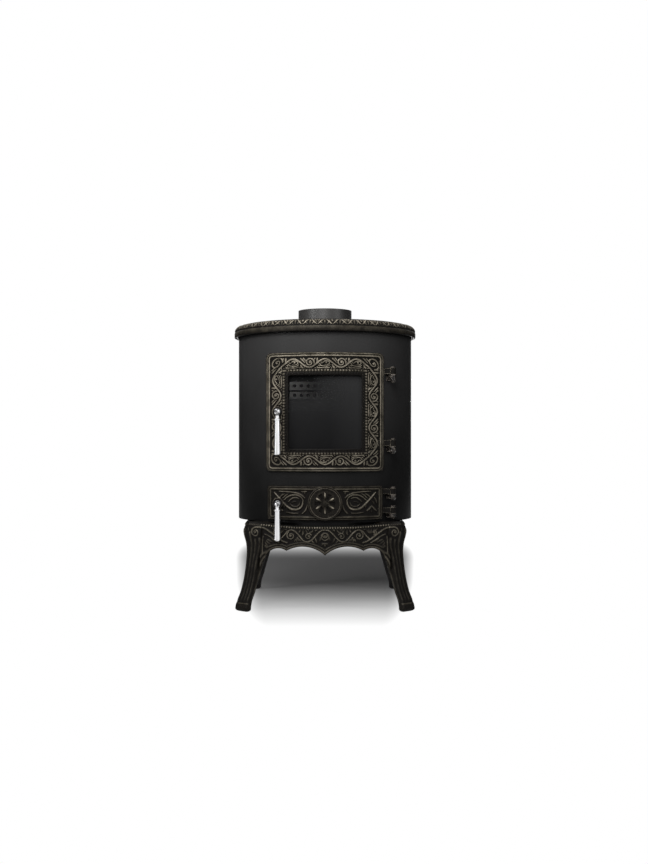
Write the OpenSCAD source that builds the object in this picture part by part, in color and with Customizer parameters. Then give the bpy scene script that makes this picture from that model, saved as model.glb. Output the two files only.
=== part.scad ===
// Cast and sheet iron potbelly stove on a four-legged base.
// Origin on the floor under the flue, +Z up, the doors face -Y, hinges on the +X side.

/* [Drum] */
// Outside diameter of the rolled drum
drum_d = 421; // [400:1:450]
// Thickness of the drum sheet
drum_wall = 3; // [2:0.5:4]
// Height of the drum's lower edge above the floor
drum_z = 202; // [198:1:215]
// Height of the drum
drum_h = 450; // [445:1:480]
// Thickness of the welded drum floor
floor_t = 4; // [3:0.5:6]

/* [Top plate and flue] */
// Overhang of the top plate past the drum
rim_lap = 10.5; // [9:0.5:19]
// Depth of the plate's skirt below its underside
skirt_drop = 18; // [15:1:24]
// Height of the plain vertical lip
lip_h = 13; // [8:1:16]
// Width and height of the rounded shoulder
shoulder = 15; // [12:1:18]
// Thickness of the plate
plate_t = 11; // [8:0.5:14]
// Outside diameter of the flue collar
collar_d = 130; // [120:1:160]
// Wall of the flue collar
collar_wall = 5; // [4:0.5:8]
// Height of the flue collar above the plate
collar_h = 39; // [30:1:60]
// Diameter of the collar's bolt circle
collar_pcd = 150; // [146:1:156]
// Thickness of the collar's flange
flange_t = 6; // [4:0.5:8]

/* [Main door] */
// Half width of the main door
main_hw = 136; // [134:0.5:137]
// Lower edge of the main door
main_z0 = 318; // [316:1:322]
// Height of the main door
main_h = 272; // [266:1:276]
// Corner radius of the main door
main_corner = 11; // [6:1:14]
// Half width of the window
window_hw = 84; // [76:1:88]
// Lower edge of the window
window_z0 = 369; // [365:1:376]
// Height of the window
window_h = 170; // [160:1:174]
// Thickness of the curved glass
glass_t = 4; // [3:0.5:5]
// Overlap of the glass past the window on each side
glass_lap = 10; // [8:0.5:11]

/* [Ash door] */
// Half width of the ash door
ash_hw = 133; // [131:0.5:134]
// Lower edge of the ash door
ash_z0 = 207.5; // [207:0.25:209]
// Height of the ash door
ash_h = 78.5; // [77:0.5:79]
// Corner radius of the ash door
ash_corner = 6; // [3:1:8]
// Outer radius of the rosette on the ash door
rosette_r = 38.5; // [37:0.5:38.5]
// Outer radius of the turning air disc
spinner_r = 33; // [30:0.5:33.5]
// Largest radius of the air ports
port_r = 23.5; // [20:0.5:25]
// Number of air ports
port_count = 6; // [4:1:8]

/* [Doors and seals] */
// Thickness of the door leaves
leaf_t = 3.4; // [3:0.2:4]
// Gap between a door leaf and the drum
leaf_gap = 0.7; // [0.4:0.1:1.2]
// Height of the raised mouldings on the doors
ridge_h = 1.6; // [0.8:0.2:2]
// Overlap of a door leaf past its opening in the drum
door_lap = 7; // [6:0.5:8]
// Width of the rim that carries the rope seal
rim_w = 11; // [10.5:0.5:12]
// Depth of that rim behind the leaf
rim_depth = 7.7; // [7:0.1:8.5]
// Width of the rope seal
rope_w = 6; // [5:0.5:7]
// Gap between the rope seal and the frame's sealing lip
seal_gap = 0.3; // [0.3:0.1:1]

/* [Hinges] */
// Distance of the hinge line to the right of the centre
hinge_x = 157; // [156:0.5:158]
// Distance of the hinge line in front of the centre
hinge_y = 161.6; // [160.5:0.1:162.5]
// Radius of a hinge barrel
barrel_r = 7; // [6:0.5:8]
// Radius of a hinge pin
pin_r = 3; // [2.5:0.25:3.5]
// Running clearance of shafts and pins
run_gap = 0.05; // [0.03:0.01:0.09]
// Gap between a door ear and the drum ear under it
ear_gap = 0.3; // [0.2:0.05:0.5]

/* [Handles] */
// Distance of the latch shafts left of the centre
latch_x = 108; // [107:0.5:109]
// Height of the main latch shaft
main_latch_z = 454.5; // [440:0.5:470]
// Height of the ash latch shaft
ash_latch_z = 246; // [245:0.5:248]
// Distance of the grips in front of the centre
grip_y = 218.3; // [217:0.1:219]
// Length of the main grip below its shaft
main_grip = 99; // [80:1:105]
// Length of the ash grip below its shaft
ash_grip = 85; // [70:1:90]
// Radius at the thick end of a grip
grip_r = 7.3; // [6:0.1:7.4]
// Radius of a latch shaft
shaft_r = 5; // [4:0.5:5]
// Distance of the latch tongues in front of the centre
tongue_y = 141; // [139:0.5:141]
// Reach of a latch tongue from its shaft
tongue_reach = 18; // [14:1:18]

/* [Base] */
// Distance of the apron's face in front of the centre
apron_y = 224; // [222:1:226]
// Radius of the bow of the apron
bow_r = 367.5; // [340:0.5:400]
// Wall of the apron casting
apron_t = 6; // [5:0.5:8]
// Height of the apron's lowest cusp
cusp_z = 129.5; // [120:0.5:135]
// Height of the wide arches beside it
arch_z = 149; // [142:0.5:155]
// Height of the outer cusps
outer_cusp_z = 139; // [134:0.5:142]
// Direction of the legs, from the front
leg_az = 43; // [41:0.5:46]
// Thickness of the base plate
base_t = 6; // [5:0.5:8]
// Dip of the apron's top edge in the middle
top_dip = 6; // [3:0.5:8]
// Distance of the side rails' faces from the centre
rail_x = 183; // [180:1:184]

/* [Firebox] */
// Height of the grate carrier
carrier_z = 294; // [293:0.5:297]
// Thickness of the grate carrier
carrier_t = 8; // [6:0.5:9]
// Diameter of the fire grate
grate_d = 220; // [180:1:236]
// Number of slots in the grate
slot_count = 9; // [5:2:11]
// Height of the cast liners
liner_h = 190; // [150:1:192]
// Thickness of the cast liners
liner_t = 7; // [5:0.5:9]
// Number of holes in each air strip
strip_holes = 10; // [6:1:10]
// Spacing of those holes
strip_pitch = 17.5; // [15:0.5:18]
// Height of the baffle plate
baffle_z = 572; // [566:1:580]
// Width of the ash pan
pan_w = 184; // [160:1:188]
// Depth of the ash pan
pan_d = 250; // [200:1:260]
// Height of the ash pan
pan_h = 37; // [25:1:39]
// Wall of the ash pan
pan_wall = 2; // [1.5:0.5:3]

/* [Hidden] */

$fn = 96;
ring_fn = 720;                            // sides of the large rings
cut = 1;                                  // overrun of a cutting solid past the face it cuts
seat = 0.3;                               // gap where curved pieces rest against each other
face_gap = 0.05;                          // gap where curved pieces are bolted together

drum_r = drum_d / 2;
drum_in = drum_r - drum_wall;
inside_r = drum_in - seat;                // what sits against the drum's inner face
drum_top = drum_z + drum_h;
floor_z = drum_z + floor_t;

rim_r = drum_r + rim_lap;
gasket_h = 4;
plate_under = drum_top + gasket_h;
plate_top = plate_under + plate_t;
skirt_z = plate_under - skirt_drop;
lip_z = skirt_z + lip_h;
skirt_in = drum_r + 1.5;
flue_r = collar_d / 2 - collar_wall;
flange_r = collar_pcd / 2 + 10;
collar_z = plate_top + 1;

leaf_in = drum_r + leaf_gap;
leaf_out = leaf_in + leaf_t;
ridge_out = leaf_out + ridge_h;
rim_in = leaf_in - rim_depth;
rope_in = rim_in - 2.2;
rope_out = rim_in + 2.8;
lip_out = rope_in - seal_gap;             // the frame's sealing face
lip_in = lip_out - 6;

main_z1 = main_z0 + main_h;
ash_z1 = ash_z0 + ash_h;
window_z1 = window_z0 + window_h;
ash_mid = (ash_z0 + ash_z1) / 2;

rim_side = 2.2;                           // gap between a door's rim and its opening
opening_corner = 3;
rim_inset = door_lap + rim_side;
rope_inset = rim_inset + rim_w / 2;
frame_inset = door_lap + 0.8;             // where the frame's flange starts
lip_inset = rope_inset + 1.9;             // the lip backs the outer part of the rope

glass_out = leaf_in - 2.2;                // the tape gasket lies between glass and leaf
glass_in = glass_out - glass_t;

clip_az = 16;                             // direction of the glass clips from the front
clip_out = 6.5;                           // distance of their screws past the glass
clip_zs = [window_z0 - glass_lap - clip_out, window_z1 + glass_lap + clip_out];
bead_w = 11.5;                            // of the moulding round the window: its outer edge,
bead_lip = 3;                             // its inner edge
bead_h = 1;                               // and its height
ridges = [[1.6, 2.4], [6.6, 1.8]];        // inset and width of the mouldings along a door's edge
sink = 0.5;                               // depth to which a moulding is sunk into its leaf

hinge = [hinge_x, -hinge_y];
main_ear_z = [542, 376];                  // undersides of the door ears
main_ear_h = 15;
ash_ear_z = [265, 221];
ash_ear_h = 14;
drum_ear_h = [18, 16, 12.5, 12];
cap_h = 3.5;
pin_tail = 2;

shaft_front = grip_y - 6;
hub_r = 7.6;
boss_r = 12;                              // escutcheon radius
boss_front = 197;
inner_boss_r = 7.5;
inner_boss_y = 172;
tongue_t = 6;
tongue_w = 12;
tongue_hub_r = 6.5;
nut_r = 6.5;
nut_t = 5;
shaft_tail = 3;                           // of the shaft, past its nut
keeper_gap = 0.4;                         // between a tongue and its keeper
keeper_h = 18;

seat_front = 219.6;                       // front of the rosette's ring
seat_floor = 214.6;                       // floor of its recess
spinner_t = 3;
hub_screw_r = 3;
port_in = 10;                             // smallest radius of the air ports
port_w = 360 / port_count * 0.4;          // and their angle

bow_y = bow_r - apron_y;                  // centre of the bow is behind the middle of the stove
apron_hw = 149;
outer_cusp_x = 87.5;
base_z = drum_z - base_t;
lug_t = 6;
lug_z = base_z - lug_t;
lug_hw = 66;
lug_bolt = [50, 174];
rail_t = 6;
rail_end = 23;                            // of a rail, from the plane through a leg's middle
rail_hy = 172;                            // half length before its ends are cut
rail_cusps = [14, 12, 8];                 // rise of its middle cusp, arches and end cusps over the apron's
rail_arch_x = [56, 112];
rail_lug = [60, 18];                      // half length and depth of the lug under the base plate
rail_bolt = [166, 45];
base_bow_r = bow_r - apron_t - 4;        // the base plate stops short of the aprons
base_corner = 189;                        // and of the knees of the legs
bolt_r = 4;
bolt_hole = bolt_r + 0.2;
head_r = 7;
head_h = 5;
drum_bolt = [135, 70];

carrier_top = carrier_z + carrier_t;
bracket_h = 10;
grate_z = carrier_top - 5;
grate_t = 9;
liner_z = carrier_top;
liner_out = 197;
liner_in = liner_out - liner_t;
strip_z = [506.5, 531];
strip_h = [18, 22];
strip_y = 166;
strip_hw = 92;
strip_wall = 2.5;
hole_r = 4.6;
guard = [200, 7, 34];                     // log guard, which stands this far in front of the middle:
guard_y = 150;
liner_ends = [[-42, 44], [45, 135], [136, 222]];
rib_pitch = 14;                           // angle between the ribs of the lining
baffle_t = 6;
baffle_front = 70;
pan_z = floor_z + 21;
pan_y = -pan_d / 2 - 25;                  // front of the ash pan
pan_bail = [48, 18, 8];
runner_h = pan_z - floor_z - seat;
runner_w = 10;
runner_x = pan_w / 2 - runner_w - 4;

black = [0.09, 0.09, 0.09];
bronze = [0.23, 0.20, 0.15];
dark = [0.15, 0.14, 0.13];
chrome = [0.86, 0.86, 0.87];
steel = [0.5, 0.5, 0.5];
rope_grey = [0.62, 0.6, 0.55];
glass_grey = [0.14, 0.15, 0.16, 0.5];

// ---------- shared shapes ----------

// a standing ring between two radii
module ring(r_in, r_out, z0, z1) {
  translate([0, 0, z0]) difference() {
    cylinder(r = r_out, h = z1 - z0, $fn = ring_fn);
    translate([0, 0, -cut]) cylinder(r = r_in, h = z1 - z0 + 2 * cut, $fn = ring_fn);
  }
}

// rounded rectangle, centred in x, between two heights
module panel2d(hw, z0, z1, r) {
  translate([-hw, z0 + r]) square([2 * hw, z1 - z0 - 2 * r]);
  translate([-hw + r, z0]) square([2 * (hw - r), z1 - z0]);
  for (x = [-hw + r, hw - r], z = [z0 + r, z1 - r]) translate([x, z]) circle(r = r);
}

// the same, as a block that runs forward from the middle of the drum
module panel(hw, z0, z1, r) {
  rotate([90, 0, 0]) translate([0, 0, 100]) linear_extrude(height = 200) panel2d(hw, z0, z1, r);
}

// a curved plate between two radii with the outline of a panel
module curved_panel(r_in, r_out, hw, z0, z1, r) {
  intersection() {
    ring(r_in, r_out, z0 - cut, z1 + cut);
    panel(hw, z0, z1, r);
  }
}

// a curved frame: a panel with a smaller panel cut out, both inset from one outline
module curved_frame(r_in, r_out, hw, z0, z1, inset, width, r) {
  r_outer = max(r - inset, 1);
  r_inner = max(r - inset - width, 1);
  difference() {
    curved_panel(r_in, r_out, hw - inset, z0 + inset, z1 - inset, r_outer);
    panel(hw - inset - width, z0 + inset + width, z1 - inset - width, r_inner);
  }
}

module rod_y(r, y0, y1, x, z) {
  translate([x, -y0, z]) rotate([90, 0, 0]) cylinder(r = r, h = y1 - y0);
}

module hex_bolt(x, y, head_z, tail_z, up) {
  translate([x, y, min(head_z, tail_z)]) cylinder(r = bolt_r, h = abs(tail_z - head_z));
  translate([x, y, up ? head_z : head_z - head_h]) cylinder(r = head_r, h = head_h, $fn = 6);
}

// centre of the circle through three points
function centre3(p, q, r) =
  let (d = 2 * (p.x * (q.y - r.y) + q.x * (r.y - p.y) + r.x * (p.y - q.y)),
       pp = p * p, qq = q * q, rr = r * r)
  [(pp * (q.y - r.y) + qq * (r.y - p.y) + rr * (p.y - q.y)) / d,
   (pp * (r.x - q.x) + qq * (p.x - r.x) + rr * (q.x - p.x)) / d];

// points along the upper arc from p to r through q, p left of r
function arc3(p, q, r, n) =
  let (c = centre3(p, q, r), rad = norm(p - c),
       a = atan2(p.y - c.y, p.x - c.x), b = atan2(r.y - c.y, r.x - c.x))
  [for (i = [0:n]) c + rad * [cos(a + (b - a) * i / n), sin(a + (b - a) * i / n)]];

// ---------- base ----------

// lower edge of the front apron, from the middle to the leg, shifted up by d
function apron_edge(d) = concat(
  arc3([0, cusp_z + d], [50, arch_z + d], [outer_cusp_x, outer_cusp_z + d], 12),
  arc3([outer_cusp_x + 0.01, outer_cusp_z + d], [106, outer_cusp_z + 5.5 + d], [136, 121 + d], 8));

// one half of the apron between two shifted edges; top_z gives the flat or dipping top
module apron_half(d, top_mid, top_end) {
  polygon(concat(apron_edge(d), [[apron_hw, 108 + d], [apron_hw, top_end], [70, top_mid], [0, top_mid]]));
}

module apron_band(d0, d1) {
  difference() {
    apron_half(d0, arch_z + 20, arch_z + 20);
    polygon(concat(apron_edge(d1), [[apron_hw + cut, 108 + d1], [apron_hw + cut, 300], [-cut, 300],
      [-cut, cusp_z + d1]]));
  }
}

module bow_shell(r_in, r_out) {
  intersection() {
    translate([0, bow_y, 0]) ring(r_in, r_out, 90, drum_z);
    translate([-200, -apron_y - 10, 90]) cube([400, 110, 150]);
  }
}

module both_halves() {
  children();
  mirror([1, 0, 0]) children();
}

// leg stations: height, distance of the face from the stove's middle, half width, thickness
leg_line = [
  [0, 279.5, 17, 15], [4, 282.5, 19.4, 18], [12, 282.5, 19.4, 19], [24, 278, 18.6, 18.5],
  [42, 268.5, 17.8, 18.5], [64, 260.5, 17.6, 20], [92, 253.5, 17.8, 25], [116, 249, 18.6, 30],
  [136, 245.3, 21.5, 35], [156, 244.4, 26, 41], [168, 247.5, 27.6, 44], [180, 250, 28, 48],
  [190, 248, 27.8, 50], [197, 243.5, 26.6, 49], [drum_z - seat, 236, 24.5, 46]
];

// one ring of a leg: a rectangle with its corners cut, in the leg's own radial frame
function leg_ring(s, grow) = let (z = s[0], f = s[1] + grow, w = s[2] + grow, t = s[3] + 2 * grow, c = 3.2)
  [for (p = [[f - c, -w], [f, -w + c], [f, w - c], [f - c, w], [f - t + c, w], [f - t, w - c],
             [f - t, -w + c], [f - t + c, -w]]) [p.x, p.y, z]];

module leg(az, grow = 0) {
  n = len(leg_line);
  pts = [for (s = leg_line) each leg_ring(s, grow)];
  sides = [for (i = [0:n - 2], k = [0:7]) let (m = (k + 1) % 8)
    each [[8 * i + k, 8 * i + 8 + m, 8 * i + m], [8 * i + k, 8 * i + 8 + k, 8 * i + 8 + m]]];
  caps = [[for (k = [0:7]) k], [for (k = [7:-1:0]) 8 * (n - 1) + k]];
  rotate([0, 0, az]) polyhedron(points = pts, faces = concat(sides, caps), convexity = 4);
}

module leg_frame() {
  color(bronze) {
    difference() {
      union() {
        intersection() {
          bow_shell(bow_r - apron_t, bow_r);
          rotate([90, 0, 0]) linear_extrude(height = 300)
            both_halves() apron_half(0, base_z + base_t - top_dip, drum_z - 1);
        }
        intersection() {
          bow_shell(bow_r - apron_t, bow_r + 1.6);
          rotate([90, 0, 0]) linear_extrude(height = 300) both_halves() apron_band(1.5, 5);
        }
        intersection() {
          translate([-lug_hw, -apron_y + 1, lug_z]) cube([2 * lug_hw, apron_y - 163, lug_t]);
          translate([0, bow_y, lug_z - cut]) cylinder(r = bow_r - apron_t / 2, h = 20);
        }
      }
      for (x = [-1, 1]) translate([x * lug_bolt.x, -lug_bolt.y, lug_z - cut])
        cylinder(r = bolt_hole, h = lug_t + 2 * cut);
    }
    leg(-90 - leg_az);
    leg(-90 + leg_az);
  }
}

module leg_frame_front() leg_frame();
module leg_frame_rear() mirror([0, 1, 0]) leg_frame();

// lower edge of a side rail follows two arches that meet in a middle cusp
module rail_half2d() {
  top = drum_z - 2 * seat;
  polygon(concat(arc3([0, cusp_z + rail_cusps[0]], [rail_arch_x[0], arch_z + rail_cusps[1]],
      [rail_arch_x[1], outer_cusp_z + rail_cusps[2]], 12),
    [[rail_hy, outer_cusp_z - 10], [rail_hy, top], [0, top]]));
}

module side_rail() {
  color(bronze) difference() {
    union() {
      intersection() {
        translate([rail_x - rail_t, 0, 0]) rotate([90, 0, 90]) linear_extrude(height = rail_t)
          both_halves() rail_half2d();
        rotate([0, 0, leg_az]) translate([rail_end, -apron_y, 0]) cube([2 * apron_y, 2 * apron_y, drum_z]);
        rotate([0, 0, -leg_az]) translate([rail_end, -apron_y, 0]) cube([2 * apron_y, 2 * apron_y, drum_z]);
      }
      translate([rail_x - rail_t - rail_lug.y, -rail_lug.x, lug_z]) cube([rail_lug.y + cut, 2 * rail_lug.x, lug_t]);
    }
    for (y = [-1, 1]) translate([rail_bolt.x, y * rail_bolt.y, lug_z - cut])
      cylinder(r = bolt_hole, h = lug_t + 2 * cut);
    leg(-90 + leg_az, seat);
    leg(90 - leg_az, seat);
  }
}

module side_rail_right() side_rail();
module side_rail_left() mirror([1, 0, 0]) side_rail();

// strip across the base, as wide as the space between the knees of two opposite legs
module knee_strip(az) {
  rotate([0, 0, az]) translate([-2 * apron_y, -base_corner, base_z]) cube([4 * apron_y, 2 * base_corner, base_t]);
}

module base_plate() {
  half = rail_x - rail_t - seat;
  color(dark) difference() {
    intersection() {
      translate([0, bow_y, base_z]) cylinder(r = base_bow_r, h = base_t, $fn = ring_fn);
      translate([0, -bow_y, base_z]) cylinder(r = base_bow_r, h = base_t, $fn = ring_fn);
      translate([-half, -apron_y, base_z]) cube([2 * half, 2 * apron_y, base_t]);
      knee_strip(leg_az);
      knee_strip(-leg_az);
    }
    for (x = [-1, 1], y = [-1, 1]) {
      for (at = [lug_bolt, rail_bolt, drum_bolt])
        translate([x * at.x, y * at.y, base_z - cut]) cylinder(r = bolt_hole, h = base_t + 2 * cut);
    }
  }
}

module base_bolts() {
  color(steel) for (x = [-1, 1], y = [-1, 1]) {
    hex_bolt(x * lug_bolt.x, y * lug_bolt.y, lug_z, drum_z - 0.5, false);
    hex_bolt(x * rail_bolt.x, y * rail_bolt.y, lug_z, drum_z - 0.5, false);
  }
}

// ---------- drum ----------

module drum_shell() {
  color(black) difference() {
    ring(drum_in, drum_r, drum_z, drum_top);
    panel(main_hw - door_lap - 1, main_z0 + door_lap, main_z1 - door_lap, opening_corner);
    panel(ash_hw - door_lap - 1, ash_z0 + door_lap, ash_z1 - door_lap, opening_corner);
  }
}

module drum_floor() {
  color(black) difference() {
    translate([0, 0, drum_z]) cylinder(r = inside_r, h = floor_t);
    for (x = [-1, 1], y = [-1, 1]) translate([x * drum_bolt.x, y * drum_bolt.y, drum_z - cut])
      cylinder(r = bolt_hole, h = floor_t + 2 * cut);
  }
}

module drum_bolts() {
  color(steel) for (x = [-1, 1], y = [-1, 1]) translate([x * drum_bolt.x, y * drum_bolt.y, 0]) {
    hex_bolt(0, 0, floor_z, base_z - head_h - 2, true);
    translate([0, 0, base_z - head_h]) cylinder(r = head_r, h = head_h, $fn = 6);
  }
}

// cast frame behind an opening: a flange against the drum and a lip that the rope seal meets
module opening_frame(hw, z0, z1, grow) {
  color(dark) union() {
    difference() {
      curved_panel(lip_out - cut, inside_r, hw + grow, z0 - grow, z1 + grow, 4);
      panel(hw - frame_inset - 1, z0 + frame_inset, z1 - frame_inset, 2);
    }
    difference() {
      curved_panel(lip_in, lip_out, hw + grow, z0 - grow, z1 + grow, 4);
      panel(hw - lip_inset - 1, z0 + lip_inset, z1 - lip_inset, 2);
    }
  }
}

module main_frame() opening_frame(main_hw, main_z0, main_z1, 3);
module ash_frame() opening_frame(ash_hw, ash_z0, ash_z1, 1);

// wear pad behind the lip, which the latch tongue grips
module keeper(hw, z) {
  back = tongue_y + tongue_t + keeper_gap;
  color(steel) difference() {
    translate([-hw, -lip_in, z - keeper_h / 2]) cube([lip_inset + 1, lip_in - back, keeper_h]);
    ring(lip_in - seat, lip_in + 60, z - keeper_h, z + keeper_h);
  }
}

module main_keeper() keeper(main_hw, main_latch_z);
module ash_keeper() keeper(ash_hw, ash_latch_z);

// drum ear: a barrel on the hinge line that narrows downwards, with an arm that ends on the drum
module drum_ear(z, h) {
  color(bronze) difference() {
    translate([hinge.x, hinge.y, z]) {
      cylinder(r1 = barrel_r - 2.5, r2 = barrel_r, h = h / 3);
      translate([0, 0, h / 3]) cylinder(r = barrel_r, h = h * 2 / 3);
      rotate([0, 0, atan2(-hinge.y, -hinge.x)]) translate([0, 1 - barrel_r, h / 4])
        cube([24, 2 * (barrel_r - 1), h * 3 / 4]);
    }
    translate([0, 0, z - cut]) cylinder(r = drum_r, h = h + 2 * cut, $fn = ring_fn);
    translate([hinge.x, hinge.y, z - cut]) cylinder(r = pin_r + run_gap, h = h + 2 * cut);
  }
}

module main_drum_ear_upper() drum_ear(main_ear_z[0] - ear_gap - drum_ear_h[0], drum_ear_h[0]);
module main_drum_ear_lower() drum_ear(main_ear_z[1] - ear_gap - drum_ear_h[1], drum_ear_h[1]);
module ash_drum_ear_upper() drum_ear(ash_ear_z[0] - ear_gap - drum_ear_h[2], drum_ear_h[2]);
module ash_drum_ear_lower() drum_ear(ash_ear_z[1] - ear_gap - drum_ear_h[3], drum_ear_h[3]);

// ---------- top plate and flue ----------

module top_plate() {
  color(bronze) difference() {
    rotate_extrude($fn = ring_fn) difference() {
      union() {
        translate([0, plate_under]) square([rim_r - shoulder, plate_t]);
        translate([rim_r - shoulder, skirt_z]) square([shoulder, lip_h]);
        intersection() {
          translate([rim_r - shoulder, lip_z]) circle(r = shoulder);
          translate([rim_r - shoulder, lip_z]) square([shoulder, shoulder]);
        }
      }
      translate([0, skirt_z - cut]) square([skirt_in, plate_under - skirt_z + cut]);
    }
    translate([0, 0, plate_under - cut]) cylinder(r = flue_r - 4, h = plate_t + 2 * cut);
    for (i = [0:3]) rotate([0, 0, 45 + 90 * i]) translate([collar_pcd / 2, 0, plate_under - cut])
      cylinder(r = bolt_hole - 1, h = plate_t + 2 * cut);
  }
}

module top_gasket() {
  color(rope_grey) ring(drum_in - 2, drum_r + 0.5, drum_top, plate_under);
}

module collar_gasket() {
  color(rope_grey) difference() {
    ring(flue_r + 1, flange_r - 0.5, plate_top, collar_z);
    for (i = [0:3]) rotate([0, 0, 45 + 90 * i]) translate([collar_pcd / 2, 0, plate_top - cut])
      cylinder(r = bolt_hole - 1, h = 1 + 2 * cut);
  }
}

module flue_collar() {
  color(black) difference() {
    rotate_extrude() union() {
      translate([flue_r, collar_z]) square([flange_r - flue_r, flange_t]);
      translate([flue_r, collar_z]) square([collar_wall, plate_top + collar_h - collar_z]);
    }
    for (i = [0:3]) rotate([0, 0, 45 + 90 * i]) translate([collar_pcd / 2, 0, collar_z - cut])
      cylinder(r = bolt_hole - 1, h = flange_t + 2 * cut);
  }
}

module collar_bolts() {
  color(steel) for (i = [0:3]) rotate([0, 0, 45 + 90 * i]) translate([collar_pcd / 2, 0, 0]) {
    translate([0, 0, plate_under]) cylinder(r = bolt_r - 1, h = collar_z + flange_t - plate_under);
    translate([0, 0, collar_z + flange_t]) cylinder(r = 6, h = 4, $fn = 6);
  }
}

// ---------- firebox ----------

// part of the cast lining between two directions, with upright ribs on its face
module liner(i) {
  a0 = liner_ends[i][0];
  a1 = liner_ends[i][1];
  color(dark) translate([0, 0, liner_z]) {
    rotate([0, 0, a0]) rotate_extrude(angle = a1 - a0)
      translate([liner_in, 0]) square([liner_t, liner_h]);
    for (a = [a0 + 10:rib_pitch:a1 - 6]) rotate([0, 0, a])
      translate([liner_in - 2, -3, 6]) cube([4, 6, liner_h - 12]);
  }
}

module liner_right() liner(0);
module liner_rear() liner(1);
module liner_left() liner(2);

module log_guard() {
  color(dark) difference() {
    translate([-guard.x / 2, -guard_y, carrier_top]) cube(guard);
    for (i = [-4:4]) translate([i * guard.x / 9 - 5, -guard_y - cut, carrier_top + guard.z / 3])
      cube([10, guard.y + 2 * cut, guard.z]);
  }
}

module carrier_brackets() {
  color(dark) for (a = [0, 90, 180]) rotate([0, 0, a]) intersection() {
    translate([inside_r - 26, -12, carrier_z - bracket_h]) cube([30, 24, bracket_h]);
    cylinder(r = inside_r, h = carrier_z);
  }
}

module grate_carrier() {
  color(dark) difference() {
    union() {
      difference() {
        translate([0, 0, carrier_z]) cylinder(r = lip_in - seat, h = carrier_t);
        translate([0, 0, grate_z]) cylinder(r = grate_d / 2 + 1, h = carrier_t);
      }
      ring(lip_in - 2, inside_r, carrier_z, carrier_top);
    }
    translate([0, 0, carrier_z - cut]) cylinder(r = grate_d / 2 - 8, h = carrier_t);
  }
}

module fire_grate() {
  pitch = (grate_d - 24) / slot_count;
  color(dark) difference() {
    translate([0, 0, grate_z]) cylinder(r = grate_d / 2, h = grate_t);
    for (i = [0:slot_count - 1]) {
      x = (i - (slot_count - 1) / 2) * pitch;
      half = sqrt(pow(grate_d / 2 - 14, 2) - pow(abs(x) + pitch / 4, 2));
      for (side = [-1, 1]) translate([x - pitch / 4, side > 0 ? 4 : -half, grate_z - cut])
        cube([pitch / 2, half - 4, grate_t + 2 * cut]);
    }
  }
}

module baffle_brackets() {
  color(dark) for (a = [20, 90, 160]) rotate([0, 0, a]) intersection() {
    translate([inside_r - 20, -10, baffle_z - 8]) cube([30, 20, 8]);
    cylinder(r = inside_r, h = baffle_z + 10);
  }
}

module baffle_plate() {
  color(dark) intersection() {
    translate([0, 0, baffle_z]) cylinder(r = inside_r - 2, h = baffle_t);
    translate([-drum_r, -baffle_front, baffle_z - cut]) cube([drum_d, drum_d, baffle_t + 2 * cut]);
  }
}

// hollow channel on the rear wall with a row of air holes in its face
module air_strip(z, h) {
  color(dark) difference() {
    intersection() {
      translate([-strip_hw, strip_y, z - h / 2]) cube([2 * strip_hw, 60, h]);
      translate([0, 0, z - h]) cylinder(r = inside_r, h = 2 * h);
    }
    translate([-strip_hw + strip_wall, strip_y + strip_wall, z - h / 2 + strip_wall])
      cube([2 * (strip_hw - strip_wall), 60, h - 2 * strip_wall]);
    for (i = [0:strip_holes - 1])
      translate([(i - (strip_holes - 1) / 2) * strip_pitch, strip_y - cut, z])
        rotate([-90, 0, 0]) cylinder(r = hole_r, h = strip_wall + 2 * cut);
  }
}

module upper_air_strip() air_strip(strip_z[1], strip_h[1]);
module lower_air_strip() air_strip(strip_z[0], strip_h[0]);

module pan_runners() {
  color(dark) for (x = [-1, 1]) translate([x * runner_x - runner_w / 2, pan_y + 15, floor_z])
    cube([runner_w, pan_d, runner_h]);
}

module ash_pan() {
  bail_wall = 6;
  color(steel) {
    difference() {
      translate([-pan_w / 2, pan_y, pan_z]) cube([pan_w, pan_d, pan_h]);
      translate([-pan_w / 2 + pan_wall, pan_y + pan_wall, pan_z + pan_wall])
        cube([pan_w - 2 * pan_wall, pan_d - 2 * pan_wall, pan_h]);
    }
    translate([-pan_bail.x / 2, pan_y - pan_bail.y, pan_z + pan_h - 12]) difference() {
      cube([pan_bail.x, pan_bail.y + cut, pan_bail.z]);
      translate([bail_wall, bail_wall, -cut])
        cube([pan_bail.x - 2 * bail_wall, pan_bail.y - bail_wall, pan_bail.z + 2 * cut]);
    }
  }
}

// ---------- main door ----------

// ear of a door: a barrel on the hinge line and an arm that grows out of the leaf
module door_ear(z, h, hw) {
  difference() {
    union() {
      translate([hinge.x, hinge.y, z]) cylinder(r = barrel_r, h = h);
      intersection() {
        translate([hw - 14, hinge.y - 4, z + 1]) cube([hinge.x - hw + 14, 8, h - 2]);
        ring(leaf_in, 260, z, z + h);
      }
      intersection() {
        translate([hw - 22, hinge.y - 16, z + 1]) cube([16, 16, h - 2]);
        ring(leaf_in, leaf_out + 1.5, z, z + h);
      }
    }
    translate([hinge.x, hinge.y, z - cut]) cylinder(r = pin_r + 0.02, h = h + 2 * cut);
  }
}

// rim behind a door leaf with the groove for the rope seal
module door_rim(hw, z0, z1) {
  difference() {
    curved_frame(rim_in, leaf_in + 0.5, hw - 1, z0, z1, rim_inset, rim_w, 8);
    curved_frame(rim_in - cut, rope_out, hw - 1, z0, z1, rope_inset - rope_w / 2, rope_w, 8);
  }
}

// raised double moulding along the edge of a door
module door_ridges(hw, z0, z1, r) {
  for (ridge = ridges) curved_frame(leaf_out - sink, ridge_out, hw, z0, z1, ridge[0], ridge[1], r);
}

module latch_hole(z) {
  rod_y(shaft_r + run_gap, 120, 240, -latch_x, z);
}

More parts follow.
